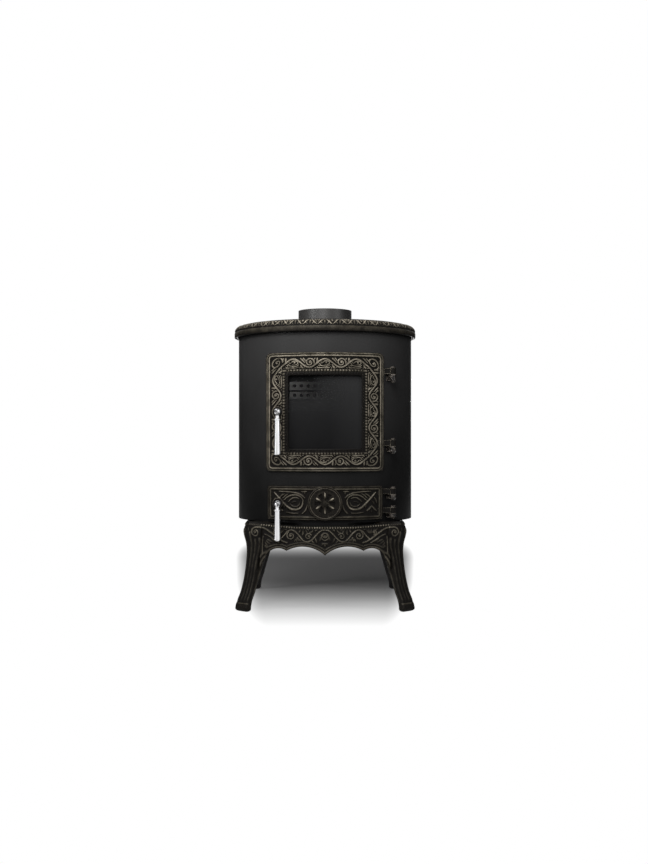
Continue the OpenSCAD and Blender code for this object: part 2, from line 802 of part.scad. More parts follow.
module main_door() {
  color(bronze) difference() {
    union() {
      difference() {
        curved_panel(leaf_in, leaf_out, main_hw, main_z0, main_z1, main_corner);
        panel(window_hw, window_z0, window_z1, 5);
      }
      door_ridges(main_hw, main_z0, main_z1, main_corner);
      difference() {
        curved_panel(leaf_out - sink, leaf_out + bead_h, window_hw + bead_w, window_z0 - bead_w,
          window_z1 + bead_w, 3);
        panel(window_hw + bead_lip, window_z0 - bead_lip, window_z1 + bead_lip, 4);
      }
      door_rim(main_hw, main_z0, main_z1);
      for (x = [-1, 1], z = [-1, 1]) clip_boss(x, z);
      rod_y(inner_boss_r, inner_boss_y, sqrt(pow(leaf_in, 2) - pow(latch_x, 2)), -latch_x, main_latch_z);
      for (z = main_ear_z) door_ear(z, main_ear_h, main_hw);
    }
    latch_hole(main_latch_z);
    for (x = [-1, 1], z = [-1, 1]) at_clip(x, z) rotate([90, 0, 0]) translate([0, 0, glass_in - 5])
      cylinder(r = 2.1, h = 9);
  }
}

// frame of one glass clip: turned to its direction round the drum and raised to its height
module at_clip(x, z) {
  rotate([0, 0, x * clip_az]) translate([0, 0, z < 0 ? clip_zs[0] : clip_zs[1]]) children();
}

module clip_boss(x, z) {
  at_clip(x, z) intersection() {
    translate([-6, -leaf_in - 1, -5]) cube([12, leaf_in + 1 - glass_in, 10]);
    translate([0, 0, -20]) cylinder(r = leaf_in + 0.5, h = 40);
  }
}

module glass_clips() {
  color(steel) for (x = [-1, 1], z = [-1, 1]) at_clip(x, z) difference() {
    intersection() {
      translate([-6, -glass_in + 0.1, z < 0 ? -5 : -13]) cube([12, 2.5, 18]);
      ring(glass_in - 6, glass_in - 0.05, -20, 20);
    }
    rotate([90, 0, 0]) translate([0, 0, glass_in - 10]) cylinder(r = 2.3, h = 14);
  }
}

module clip_screws() {
  color(steel) for (x = [-1, 1], z = [-1, 1]) at_clip(x, z) rotate([90, 0, 0]) {
    translate([0, 0, glass_in - 5]) cylinder(r = 2, h = 8);
    translate([0, 0, glass_in - 5.2]) cylinder(r = 4.5, h = 2.5);
  }
}

module door_glass() {
  color(glass_grey) curved_panel(glass_in, glass_out, window_hw + glass_lap, window_z0 - glass_lap,
    window_z1 + glass_lap, 4);
}

module glass_gasket() {
  color(rope_grey) curved_frame(glass_out + face_gap, leaf_in - face_gap, window_hw + glass_lap,
    window_z0 - glass_lap, window_z1 + glass_lap, 0, glass_lap - 2, 4);
}

module rope(hw, z0, z1) {
  color(rope_grey) curved_frame(rope_in, rope_out, hw - 1, z0, z1, rope_inset - rope_w / 2, rope_w, 8);
}

module main_rope() rope(main_hw, main_z0, main_z1);

// round cover plate on the curved leaf, which the latch shaft passes through
module escutcheon(z) {
  color(bronze) difference() {
    rod_y(boss_r, 170, boss_front, -latch_x, z);
    translate([0, 0, z - 50]) cylinder(r = leaf_out + face_gap, h = 100, $fn = ring_fn);
    latch_hole(z);
  }
}

module main_escutcheon() escutcheon(main_latch_z);

// hinge pin from inside a drum ear up through a door ear, with a cap on top
module pin(z, h, below) {
  tail_z = z - ear_gap - below + pin_tail;
  translate([hinge.x, hinge.y, tail_z]) cylinder(r = pin_r, h = z + h - tail_z + cap_h / 2);
  translate([hinge.x, hinge.y, z + h]) cylinder(r = pin_r + 2, h = cap_h);
}

module main_hinge_pins() {
  color(bronze) for (i = [0, 1]) pin(main_ear_z[i], main_ear_h, drum_ear_h[i]);
}

// ---------- latches ----------

// hanging grip: hub on the shaft, neck, collar bead and a tapering barrel with a rounded end
module handle(z, length) {
  neck_r = 4.5;
  bead_z = length * 0.19;
  color(chrome) translate([-latch_x, -grip_y, z]) {
    difference() {
      union() {
        rotate_extrude() union() {
          intersection() { circle(r = hub_r); translate([0, -10]) square([10, 20]); }
          translate([0, -bead_z]) square([neck_r, bead_z]);
          translate([0, -bead_z - 2]) square([7.1, 3.4]);
          polygon([[0, -bead_z], [6, -bead_z], [grip_r, -length + 7], [grip_r, -length + 4],
            [grip_r - 3, -length], [0, -length]]);
        }
        rotate([-90, 0, 0]) cylinder(r = hub_r - 0.8, h = grip_y - boss_front - seat);
      }
      rotate([-90, 0, 0]) translate([0, 0, grip_y - shaft_front]) cylinder(r = shaft_r, h = 40);
    }
  }
}

module latch_shaft(z) {
  color(steel) rod_y(shaft_r, tongue_y - nut_t - shaft_tail, shaft_front, -latch_x, z);
}

// tongue inside the door: it hangs with its grip, and swings behind the keeper when the grip is raised
module latch_tongue(z) {
  color(steel) difference() {
    union() {
      rod_y(tongue_hub_r, tongue_y, tongue_y + tongue_t, -latch_x, z);
      translate([-latch_x - tongue_w / 2, -tongue_y - tongue_t, z - tongue_reach])
        cube([tongue_w, tongue_t, tongue_reach]);
    }
    rod_y(shaft_r, 100, 200, -latch_x, z);
  }
}

module latch_nut(z) {
  color(steel) difference() {
    translate([-latch_x, -tongue_y + nut_t, z]) rotate([90, 0, 0]) cylinder(r = nut_r, h = nut_t, $fn = 6);
    rod_y(shaft_r, 100, 200, -latch_x, z);
  }
}

module main_handle() handle(main_latch_z, main_grip);
module main_latch_shaft() latch_shaft(main_latch_z);
module main_latch_tongue() latch_tongue(main_latch_z);
module main_latch_nut() latch_nut(main_latch_z);
module ash_handle() handle(ash_latch_z, ash_grip);
module ash_latch_shaft() latch_shaft(ash_latch_z);
module ash_latch_tongue() latch_tongue(ash_latch_z);
module ash_latch_nut() latch_nut(ash_latch_z);

// ---------- ash door ----------

// sectors of a ring, evenly spaced, the first one centred on the +X direction
module sectors(r_in, r_out, width, turn) {
  for (i = [0:port_count - 1]) rotate(turn + i * 360 / port_count) intersection() {
    difference() { circle(r = r_out); circle(r = r_in); }
    polygon([[0, 0], [2 * r_out, -2 * r_out * tan(width / 2)], [2 * r_out, 2 * r_out * tan(width / 2)]]);
  }
}

module ash_door() {
  color(bronze) difference() {
    union() {
      curved_panel(leaf_in, leaf_out, ash_hw, ash_z0, ash_z1, ash_corner);
      door_ridges(ash_hw, ash_z0, ash_z1, ash_corner);
      door_rim(ash_hw, ash_z0, ash_z1);
      difference() {
        rod_y(rosette_r, leaf_in - 10, seat_front, 0, ash_mid);
        translate([0, 0, ash_z0]) cylinder(r = leaf_in, h = ash_h, $fn = ring_fn);
      }
      rod_y(inner_boss_r, inner_boss_y, sqrt(pow(leaf_in, 2) - pow(latch_x, 2)), -latch_x, ash_latch_z);
      for (z = ash_ear_z) door_ear(z, ash_ear_h, ash_hw);
    }
    latch_hole(ash_latch_z);
    rod_y(spinner_r + seat, seat_floor, 240, 0, ash_mid);
    rod_y(hub_screw_r, 190, 240, 0, ash_mid);
    translate([0, -leaf_in + 20, ash_mid]) rotate([90, 0, 0]) linear_extrude(height = 40)
      sectors(port_in, port_r, port_w, 180 / port_count);
  }
}

module ash_rope() rope(ash_hw, ash_z0, ash_z1);
module ash_escutcheon() escutcheon(ash_latch_z);

module ash_hinge_pins() {
  color(bronze) for (i = [0, 1]) pin(ash_ear_z[i], ash_ear_h, drum_ear_h[i + 2]);
}

// turning disc that opens and closes the six air ports
module air_spinner() {
  back = seat_floor + seat;
  color(bronze) translate([0, -back, ash_mid]) rotate([90, 0, 0]) difference() {
    union() {
      linear_extrude(height = spinner_t) difference() {
        circle(r = spinner_r);
        sectors(port_in, port_r, port_w, 0);
      }
      linear_extrude(height = spinner_t + 1.6) difference() {
        circle(r = spinner_r);
        circle(r = spinner_r - 3);
      }
      for (i = [0:port_count - 1]) rotate([0, 0, (i + 0.5) * 360 / port_count])
        translate([9, -1.6, 0]) cube([15, 3.2, spinner_t + 1.6]);
      cylinder(r = 7.5, h = spinner_t + 0.6);
    }
    translate([0, 0, -cut]) cylinder(r = hub_screw_r + run_gap, h = 20);
  }
}

module spinner_screw() {
  front = seat_floor + seat + spinner_t + 0.6 + 0.3;
  color(bronze) {
    rod_y(hub_screw_r, leaf_in - 6, front, 0, ash_mid);
    rod_y(5.4, front, front + 2.2, 0, ash_mid);
  }
}

leg_frame_front();
leg_frame_rear();
side_rail_left();
side_rail_right();
base_plate();
base_bolts();
drum_shell();
drum_floor();
drum_bolts();
main_frame();
ash_frame();
main_keeper();
ash_keeper();
main_drum_ear_upper();
main_drum_ear_lower();
ash_drum_ear_upper();
ash_drum_ear_lower();
top_plate();
top_gasket();
flue_collar();
collar_gasket();
collar_bolts();
liner_left();
liner_rear();
liner_right();
log_guard();
carrier_brackets();
grate_carrier();
fire_grate();
baffle_brackets();
baffle_plate();
upper_air_strip();
lower_air_strip();
pan_runners();
ash_pan();
main_door();
door_glass();
glass_gasket();
glass_clips();
clip_screws();
main_rope();
main_escutcheon();
main_hinge_pins();
main_handle();
main_latch_shaft();
main_latch_tongue();
main_latch_nut();
ash_door();
ash_rope();
ash_escutcheon();
ash_hinge_pins();
spinner_screw();
air_spinner();
ash_handle();
ash_latch_shaft();
ash_latch_tongue();
ash_latch_nut();
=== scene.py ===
from math import atan2, cos, hypot, pi, radians, sin, sqrt

import bpy
import numpy as np
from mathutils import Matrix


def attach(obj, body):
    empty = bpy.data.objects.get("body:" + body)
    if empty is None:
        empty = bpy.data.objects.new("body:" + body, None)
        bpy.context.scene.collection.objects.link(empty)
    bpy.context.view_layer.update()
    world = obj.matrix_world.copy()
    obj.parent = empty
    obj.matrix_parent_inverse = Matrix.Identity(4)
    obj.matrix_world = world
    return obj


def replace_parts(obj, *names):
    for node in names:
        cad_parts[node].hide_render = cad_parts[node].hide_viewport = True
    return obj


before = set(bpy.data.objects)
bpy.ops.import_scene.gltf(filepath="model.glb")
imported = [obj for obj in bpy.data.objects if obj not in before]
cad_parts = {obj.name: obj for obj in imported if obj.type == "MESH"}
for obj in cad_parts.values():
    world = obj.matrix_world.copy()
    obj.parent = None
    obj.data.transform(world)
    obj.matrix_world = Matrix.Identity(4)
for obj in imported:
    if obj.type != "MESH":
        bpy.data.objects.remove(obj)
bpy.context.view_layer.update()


# Drum: a rolled and welded sheet cylinder with a welded floor, on a base plate, all in satin black stove paint.
# The paint is sprayed, so it has a fine grain, and heat and hands have made it a little uneven in gloss.
class Wire:
    """An output socket, so that shader maths reads as Python expressions."""

    def __init__(self, tree, socket=None):
        self.tree, self.socket = tree, socket

    def node(self, kind, settings=None, inputs=None, out=0):
        new = self.tree.nodes.new("ShaderNode" + kind)
        for key, value in (settings or {}).items():
            if key == "stops":
                for at, colour in value[2:]:
                    new.color_ramp.elements.new(at)
                for stop, (at, colour) in zip(new.color_ramp.elements, value):
                    stop.position, stop.color = at, (*colour, 1)
            else:
                setattr(new, key, value)
        for key, value in (inputs or {}).items():
            if isinstance(value, Wire):
                self.tree.links.new(value.socket, new.inputs[key])
            else:
                new.inputs[key].default_value = value
        return Wire(self.tree, new.outputs[out])

    def maths(self, operation, *values):
        return self.node("Math", {"operation": operation}, dict(enumerate(values)))

    def __add__(self, other):
        return self.maths("ADD", self, other)

    def __sub__(self, other):
        return self.maths("SUBTRACT", self, other)

    def __rsub__(self, other):
        return self.maths("SUBTRACT", other, self)

    def __mul__(self, other):
        return self.maths("MULTIPLY", self, other)

    __radd__, __rmul__ = __add__, __mul__

    def clamp(self):
        return self.node("Clamp", inputs={"Value": self})

    def parts(self):
        """The three parts of a place or a direction."""
        split = self.node("SeparateXYZ", inputs={0: self}).socket.node
        return [Wire(self.tree, part) for part in split.outputs]

    def into(self, shader, socket):
        self.tree.links.new(self.socket, shader.inputs[socket])


def finish(name, **constants):
    """A new material, a wire that gives the place on the piece, and its shader."""
    made = bpy.data.materials.new(name)
    made.use_nodes = True
    shader = made.node_tree.nodes["Principled BSDF"]
    for key, value in constants.items():
        shader.inputs[key.replace("_", " ")].default_value = value
    return made, Wire(made.node_tree).node("TexCoord", out=3), shader


def grain(place, scale, detail=3, rough=0.5):
    return place.node("TexNoise", inputs={"Vector": place, "Scale": scale, "Detail": detail, "Roughness": rough})


def blend(mask, low, high):
    """A colour between low, where the mask is 0, and high, where it is 1."""
    return mask.node("Mix", {"data_type": "RGBA"}, {0: mask, 6: low, 7: high}, out=2)


def bump(height, distance, strength):
    return height.node("Bump", inputs={"Height": height, "Distance": distance, "Strength": strength})


def dress(made, *nodes):
    """Gives CAD nodes a finish."""
    for name in nodes:
        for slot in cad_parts[name].material_slots:
            slot.material = made


drum_paint, place, shader = finish("drum_paint", Specular_IOR_Level=0.045)
cloud = grain(place, 5.0, 4, 0.6)
speckle = grain(place, 1500.0, 2)
height = place.parts()[2]
clear_of_painted_skirt_shadow = ((0.6385 - height) * 100.0).clamp()  # painted shadow: the drum's paint is kept dark in a band just under the top plate's skirt
# painted light: the paint is lighter towards the top and darker towards the bottom, as light from above falls,
# mottled by the cloud
painted_top_light_and_mottle = ((height - 0.26) * 2.1 + cloud * 0.5 - 0.2).clamp() * clear_of_painted_skirt_shadow
blend(painted_top_light_and_mottle, (0.0026, 0.0026, 0.0026, 1), (0.0215, 0.0212, 0.0212, 1)).into(shader, "Base Color")
(0.36 + cloud * 0.14 + speckle * 0.06).into(shader, "Roughness")
bump(speckle + grain(place, 90.0, 2) * 0.8, 0.00012, 0.5).into(shader, "Normal")
dress(drum_paint, "drum_shell", "drum_floor", "base_plate")


# Plain castings: the bodies of the two doors behind their carved faces, with their hinge ears, the bosses of the
# latches and the lugs of the base. Black iron with warm bronze rubbed on by hand, which stays on the edges.
def rubbed_iron(name, relief):
    """Black casting with bronze on what stands proud: relief(place) gives 0 in the hollows and 1 on the tops."""
    made, place, shader = finish(name, Specular_IOR_Level=0.055)
    patch = grain(place, 55.0, 4, 0.65)
    sand = grain(place, 1100.0, 3)
    height = relief(place)
    low = place.parts()[2] * -0.34 + 0.205  # painted shade: the bronze is darker low down, where less light falls
    rub_and_painted_low_shade = (height * 1.12 + patch * 0.85 - 0.55 - low).clamp()
    colour = place.node("ValToRGB", {"stops": [
        (0.0, (0.0024, 0.0020, 0.0016)), (0.3, (0.0062, 0.0053, 0.0041)), (0.6, (0.025, 0.0220, 0.0165)),
        (0.82, (0.059, 0.0522, 0.0400)), (1.0, (0.132, 0.117, 0.092))]}, {"Fac": rub_and_painted_low_shade})
    colour.into(shader, "Base Color")
    (rub_and_painted_low_shade * 0.16).into(shader, "Metallic")
    (0.56 - rub_and_painted_low_shade * 0.20 + sand * 0.08).into(shader, "Roughness")
    bump(sand + grain(place, 320.0, 2) * 1.4, 0.00022, 0.6).into(shader, "Normal")
    return made


def worn_edges(place):
    """Where a rounded edge would face another way than the surface: the edges of a plain casting."""
    soft = place.node("Bevel", {"samples": 4}, {"Radius": 0.0016})
    flat = place.node("NewGeometry", out=1)
    turned = place.node("VectorMath", {"operation": "DOT_PRODUCT"}, {0: soft, 1: flat}, out=1)
    return (0.14 + (1 - turned) * 11.0).clamp()


plain_casting = rubbed_iron("plain_casting", worn_edges)
dress(plain_casting, "main_door", "ash_door", "main_escutcheon", "ash_escutcheon", "leg_frame_front",
      "leg_frame_rear", "side_rail_left", "side_rail_right", "top_plate")


# Hinges: cast ears on the drum and turned pins with small caps. They are greased and smooth, so they glint, and
# their knuckles and edges are rubbed brighter than the other iron.
hinge_iron, place, shader = finish("hinge_iron", Specular_IOR_Level=0.28, Metallic=0.25)
handled = (worn_edges(place) * 0.8 + grain(place, 150.0, 3) * 1.3 - 0.72).clamp()
blend(handled, (0.004, 0.0034, 0.0029, 1), (0.20, 0.172, 0.148, 1)).into(shader, "Base Color")
(0.27 - handled * 0.06).into(shader, "Roughness")
bump(grain(place, 700.0, 3), 0.0001, 0.3).into(shader, "Normal")
dress(hinge_iron, "main_hinge_pins", "ash_hinge_pins", "main_drum_ear_upper", "main_drum_ear_lower",
      "ash_drum_ear_upper", "ash_drum_ear_lower")


# Fire door: a curved casting whose face has a double moulding along its edge, a running vine with scrolls and
# leaves all round, and a row of reeds beside the window. The carving is pressed up from a flat sheet by
# round-nosed strokes, then wrapped round the drum.
class Carving:
    """Heights in millimetres over a flat sheet, raised by strokes with a rounded section."""

    def __init__(self, x0, x1, z0, z1, step=0.35):
        self.x0, self.z0, self.step = x0, z0, step
        self.x = np.arange(x0, x1 + step, step)
        self.z = np.arange(z0, z1 + step, step)
        self.high = np.zeros((len(self.z), len(self.x)))

    def stroke(self, line, width, height):
        """Raises a round ridge along a line. Its half width and height may change along it."""
        line = np.asarray(line, float)
        width, height = (np.broadcast_to(np.asarray(size, float), len(line)) for size in (width, height))
        for k in range(len(line) - 1):
            a, b = line[k], line[k + 1]
            reach = max(width[k], width[k + 1])
            i0, j0 = ((np.minimum(a, b) - reach - (self.x0, self.z0)) / self.step).astype(int)
            i1, j1 = ((np.maximum(a, b) + reach - (self.x0, self.z0)) / self.step).astype(int) + 2
            i0, j0 = max(i0, 0), max(j0, 0)
            x, z = self.x[None, i0:i1], self.z[j0:j1, None]
            if x.size == 0 or z.size == 0:
                continue
            run = b - a
            t = np.clip(((x - a[0]) * run[0] + (z - a[1]) * run[1]) / max(run @ run, 1e-9), 0, 1)
            away = (x - a[0] - t * run[0]) ** 2 + (z - a[1] - t * run[1]) ** 2
            half = width[k] + t * (width[k + 1] - width[k])
            top = height[k] + t * (height[k + 1] - height[k])
            rise = top * np.clip(1 - away / half ** 2, 0, 1) ** 0.5
            patch = self.high[j0:j1, i0:i1]
            np.maximum(patch, rise, out=patch)

    def dot(self, x, z, r, height):
        self.stroke([(x, z), (x + 0.01, z)], r, height)

    def at(self, x, z):
        """Height at points of the sheet."""
        u = np.clip((x - self.x0) / self.step, 0, len(self.x) - 1.001)
        v = np.clip((z - self.z0) / self.step, 0, len(self.z) - 1.001)
        i, j = u.astype(int), v.astype(int)
        u, v = u - i, v - j
        h = self.high
        return ((h[j, i] * (1 - u) + h[j, i + 1] * u) * (1 - v)
                + (h[j + 1, i] * (1 - u) + h[j + 1, i + 1] * u) * v)


def teardrop(carve, put, start, angle, length, width, height, bend=0.0):
    """A leaf lobe: narrow at its start, full towards its round tip."""
    t = np.linspace(0, 1, 9)
    turn = radians(angle) + bend * t
    steps = np.stack([np.cos(turn), np.sin(turn)], 1) * length / 8
    line = np.array(start) + np.cumsum(steps, 0) - steps[0]
    carve.stroke([put(*p) for p in line], width * (0.28 + 0.72 * np.sin(2.3 * t)), height * (0.6 + 0.4 * t))


def flowing(points, rounds=5):
    """More points along a line, with its corners eased, as a carver's tool runs."""
    points = np.array(points, float)
    fine = np.linspace(0, len(points) - 1, 8 * len(points))
    line = np.stack([np.interp(fine, range(len(points)), points[:, q]) for q in (0, 1)], 1)
    for _ in range(rounds):
        line[1:-1] = (line[:-2] + line[1:-1] * 2 + line[2:]) / 4
    return line


def ribbon(carve, put, points, width, height, taper):
    """A stem along a flowing line. Its ends thin out by the share taper."""
    line = flowing(points)
    t = np.linspace(-1, 1, len(line))
    carve.stroke([put(*at) for at in line], width * (1 - taper * t ** 2), height)


def scroll(carve, put, centre, radius, hand, start, turns, width, height, inner, lead=()):
    """A tapering curl round an eye. hand is 1 where it winds anticlockwise; lead is the stem that runs into it."""
    t = np.linspace(0, 1, 44)
    angle = np.radians(start) + hand * t * turns * 2 * pi
    r = inner + (radius - inner) * (1 - t) ** 1.1
    coil = np.stack([centre[0] + r * np.cos(angle), centre[1] + r * np.sin(angle)], 1)
    if lead:
        run = flowing(list(lead) + [tuple(coil[0]), tuple(coil[3])], 4)[:-9]
        carve.stroke([put(*at) for at in run], width * np.linspace(0.75, 1, len(run)), height)
    carve.stroke([put(*at) for at in coil], width * (1 - 0.28 * t), height)
    carve.dot(*put(*centre), inner * 1.05, height * 1.1)


def placed(name, data):
    """A new object in the scene."""
    new = bpy.data.objects.new(name, data)
    bpy.context.scene.collection.objects.link(new)
    return new


def loft(name, loops, made, body, ring=False, relief=None, slot="relief", crease=40):
    """A closed mesh through loops of points in millimetres. Its ends are closed, or it runs round in a ring."""
    loops = np.asarray(loops, float)
    n, k = loops.shape[:2]
    i, j = np.meshgrid(np.arange(n if ring else n - 1), np.arange(k), indexing="ij")
    i2, j2 = (i + 1) % n, (j + 1) % k
    quads = np.stack([i * k + j, i2 * k + j, i2 * k + j2, i * k + j2], -1).reshape(-1, 4)
    if not ring:
        m = np.arange(k // 2 - 1)
        first = np.stack([m, m + 1, k - 2 - m, k - 1 - m], -1)
        quads = np.concatenate([quads, first, (n - 1) * k + first[:, ::-1]])
    points = loops.reshape(-1, 3) / 1000
    a, b, c, d = (points[quads[:, q]] for q in range(4))
    if (np.cross(b - a, c - a) * a + np.cross(c - a, d - a) * a).sum() < 0:
        quads = quads[:, ::-1]
    mesh = bpy.data.meshes.new(name)
    mesh.from_pydata(points.tolist(), [], quads.tolist(), shade_flat=False)
    mesh.set_sharp_from_angle(angle=radians(crease))
    if relief is not None:
        mesh.attributes.new("relief", "FLOAT", "POINT").data.foreach_set("value", np.ravel(relief))
    mesh.materials.append(made)
    piece = placed(name, mesh)
    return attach(piece, body)


door_hw, door_z0, door_z1, door_corner = 136.0, 318.0, 590.0, 11.0
door_mid = (door_z0 + door_z1) / 2
door_half = (door_z1 - door_z0) / 2
window_hw, window_corner = 84.0, 5.0
face_width = door_hw - window_hw  # of the carved frame
skin_r = 214.85  # the drawing's zero, just in front of the door's leaf
lift = 1.6  # how many times as deep as drawn the faces are cast


def rounded_outline(hw, half_h, r, straight=264, arc=16):
    """Points round a rounded rectangle about its middle, always as many on each side and corner."""
    sides = []
    for q, (dx, dz) in enumerate([(1, 1), (-1, 1), (-1, -1), (1, -1)]):
        t = np.linspace(0, pi / 2, arc, endpoint=False) + q * pi / 2
        cx, cz = dx * (hw - r), dz * (half_h - r)
        sides.append(np.stack([cx + r * np.cos(t), cz + r * np.sin(t)], 1))
        if q % 2 == 0:
            run = np.linspace(cx, -cx, straight, endpoint=False)
            sides.append(np.stack([run, np.full_like(run, cz + dz * r)], 1))
        else:
            run = np.linspace(cz, -cz, straight, endpoint=False)
            sides.append(np.stack([np.full_like(run, cx + dx * r), run], 1))
    return np.concatenate(sides)


def wrap(x, z, r):
    """A point of the flat sheet, laid on the drum at radius r in front."""
    return np.stack([x, -np.sqrt(np.maximum(r ** 2 - x ** 2, 0)), z], -1)


def vine_path(hw, z0, z1, r):
    """put(p, q) for a rounded rectangle: p runs round from the middle of the top, q outwards."""
    cz, hh = (z0 + z1) / 2, (z1 - z0) / 2
    arc = r * pi / 2
    runs = [hw - r, arc, 2 * (hh - r), arc, 2 * (hw - r), arc, 2 * (hh - r), arc, hw - r]
    corners = [(hw - r, hh - r), (hw - r, -hh + r), (-hw + r, -hh + r), (-hw + r, hh - r)]

    def put(p, q):
        p = p % sum(runs)
        k = 0
        while p > runs[k]:
            p -= runs[k]
            k += 1
        if k % 2:
            x, z = corners[k // 2]
            turn = pi / 2 * (1 - k // 2) - p / r
            return x + (r + q) * cos(turn), cz + z + (r + q) * sin(turn)
        return [(p, cz + hh + q), (hw + q, cz + hh - r - p), (hw - r - p, cz - hh - q),
                (-hw - q, cz - hh + r + p), (-hw + r + p, cz + hh + q)][k // 2]

    return put, sum(runs)


door_carving = Carving(-door_hw - 2, door_hw + 2, door_z0 - 2, door_z1 + 2)
middle = (13.3 + 37.6) / 2  # inset of the middle of the vine's band
put, around = vine_path(door_hw - middle, door_z0 + middle + 0.8, door_z1 - middle + 0.2, 11.0)
waves = 12
wave = around / waves
swing = 9.5


def lobe(carve, put, points, width, height):
    """A leaf lobe along a line: full in its middle and thin at its tip."""
    line = flowing(points, 3)
    t = np.linspace(0, 1, len(line))
    carve.stroke([put(*at) for at in line], width * (0.35 + 0.65 * np.sin(pi * (0.25 + 0.72 * t))), height)


for n in range(waves):
    crest = n * wave
    p = crest + np.linspace(-wave / 2, wave / 2, 49)
    door_carving.stroke([put(*at) for at in zip(p, swing * np.cos(2 * pi * (p - crest) / wave))], 2.65, 1.9)
    trough = crest + wave / 2
    corner = n % 3 == 1
    centre, coil = ((trough + 0.5, 5.0), 11.2) if corner else ((trough + 1.3, 1.6), 10.4)
    scroll(door_carving, put, centre, coil, 1, -8, 1.32, 2.55, 1.85, 3.0)
    # leaf under the crest: an eye in a hook, bowls beneath it and barbs along the stem
    for points, width in (
            ([(2.5, 1.3), (3.2, 1.2)], 2.7),
            ([(-5.5, 0.5), (-1.5, 4.4), (4.5, 5.2), (9.2, 3.4), (10.6, -0.6), (7.2, -3.4), (2, -3.9),
              (-2.5, -3)], 1.55),
            ([(-11, -5.0), (-4, -6.6), (3, -7.4), (9, -6.4), (13.2, -2.8)], 1.6),
            ([(-17, -10.8), (-8, -10.6), (1, -11), (8, -10.6), (13, -8.2)], 1.6),
            ([(21.5, -10.9), (18.6, -8.2), (16.4, -3.6)], 2.5), ([(15.0, -11.2), (15.6, -9.4)], 1.3),
            ([(24.5, -11.2), (27.0, -10.6)], 1.3),
            ([(-17.4, 10.6), (-17.6, 7.6), (-18.2, 2.6)], 2.7), ([(-23.0, 11.0), (-24.0, 7.6)], 1.7),
            ([(16.5, 10.8), (21, 6.8), (26.5, 0.4)], 2.0), ([(22.5, 11.2), (25.6, 8.4), (28.4, 4.4)], 1.8),
            ([(-12.4, -1.2), (-8.9, -4.7)], 1.5), ([(-15.2, -4.6), (-11.9, -7.8)], 1.5),
            ([(-18.4, -7.8), (-15.4, -10.2)], 1.4), ([(-9.4, 1.9), (-6.6, -1.4)], 1.4),
            ([(-22.6, -10.6), (-20.6, -11.3)], 1.4)):
        lobe(door_carving, put, [(crest + a, b) for a, b in points], width * 1.2, 1.85)


def inset_from(x, z, hw, half_h, corner):
    """How far in from the edge of a rounded rectangle about its middle a point lies."""
    inset = np.minimum(hw - np.abs(x), half_h - np.abs(z))
    u, v = np.abs(x) - (hw - corner), np.abs(z) - (half_h - corner)
    return np.where((u > 0) & (v > 0), np.minimum(inset, corner - np.hypot(u.clip(0), v.clip(0))), inset)


def moulding(inset, at, half, high):
    """A round bead that follows an edge at a distance from it."""
    return high * np.clip(1 - ((inset - at) / half) ** 2, 0, 1) ** 0.5


x, z = np.meshgrid(door_carving.x, door_carving.z)
inset = inset_from(x, z - door_mid, door_hw, door_half, 15.0)
edge = np.maximum(moulding(inset, 2.6, 2.2, 1.7), moulding(inset, 7.7, 2.5, 2.0))
reed_place = np.where(np.abs(x) > window_hw, z - door_mid, x)
reed_pitch = np.where(np.abs(x) > window_hw + 5, 6.68, 7.0)
along = (reed_place / reed_pitch + 0.5) % 1 - 0.5
bed_in, lip_in = 38.3, 49.3  # where the reeds' bed and the window's lip begin
reed = sum(moulding(along, 0, 0.44, 1) * moulding(inset, at, half, high)
           for at, half, high in ((41.4, 2.9, 1.45), (46.9, 2.4, 0.75)))
bed = np.where((inset > bed_in) & (inset < lip_in), 0.45, 0.0)
lip = np.where(inset >= lip_in, np.clip(1.55 - (inset - lip_in) * 0.25, 0.9, 1.6), 0)
fillet = moulding(inset, 38.2, 0.6, 0.6)
flat = np.clip(door_carving.high, 0, 1.8) * ((inset > 12.6) & (inset < 38.4))
door_carving.high = np.maximum.reduce([edge, flat, bed + reed, lip, fillet])


def door_outline(a):
    """The door's outline moved in by a, its corners tightening towards the window's."""
    return rounded_outline(door_hw - a, door_half - a, door_corner + (window_corner - door_corner) * a / face_width)


def edge_loop(a, r):
    """The door's outline moved in by a, on the drum at radius r."""
    at = door_outline(a)
    return wrap(at[:, 0], at[:, 1] + door_mid, r)[:, None]


t = np.concatenate([[0.2], np.linspace(0.9, 51.4, 78), [51.9]])
face = np.stack([door_outline(a) for a in t], 1)  # points round the door, then inwards
x, z = face[..., 0], face[..., 1] + door_mid
rise = door_carving.at(x, z)
front = wrap(x, z, skin_r)
front[..., 1] -= rise * lift
tone = np.interp(t, [0, 4.9, 5.3, 10, 12.4, 38, 39, 44, 44.7, 46.5, 49.3, 49.8, 52],
                 [0.94, 0.94, 1, 1, 1, 1, 0.95, 0.9, 0.5, 0.36, 0.25, 0.1, 0.0])
shade = np.clip(rise / 1.85, 0, 1) * tone
loops = np.concatenate([edge_loop(1.2, 213.4), edge_loop(-0.2, 211.4), edge_loop(-0.2, 213.9), front,
                        edge_loop(52.2, 214.2), edge_loop(52.2, 211.6), edge_loop(50.5, 213.0)], 1)
shade = np.pad(shade, ((0, 0), (3, 3)), constant_values=0.35)


def carved(place):
    """Height of the carving, as the mesh stores it."""
    return place.node("Attribute", {"attribute_name": "relief"}, out=2)


carved_casting = rubbed_iron("carved_casting", carved)
loft("main_door_face", loops, carved_casting, "main_door", ring=True, relief=shade, crease=60)


# Ash door: a low curved casting. Its face has the same double moulding, a panel of acanthus scrolls on each
# side, and in the middle a round seat for the air disc, with a double ring that stands proud.
ash_hw, ash_z0, ash_z1, ash_corner = 133.0, 207.5, 286.0, 6.0
ash_mid = (ash_z0 + ash_z1) / 2
ash_half = (ash_z1 - ash_z0) / 2
seat_floor = 214.6  # of the recess that the air disc turns in


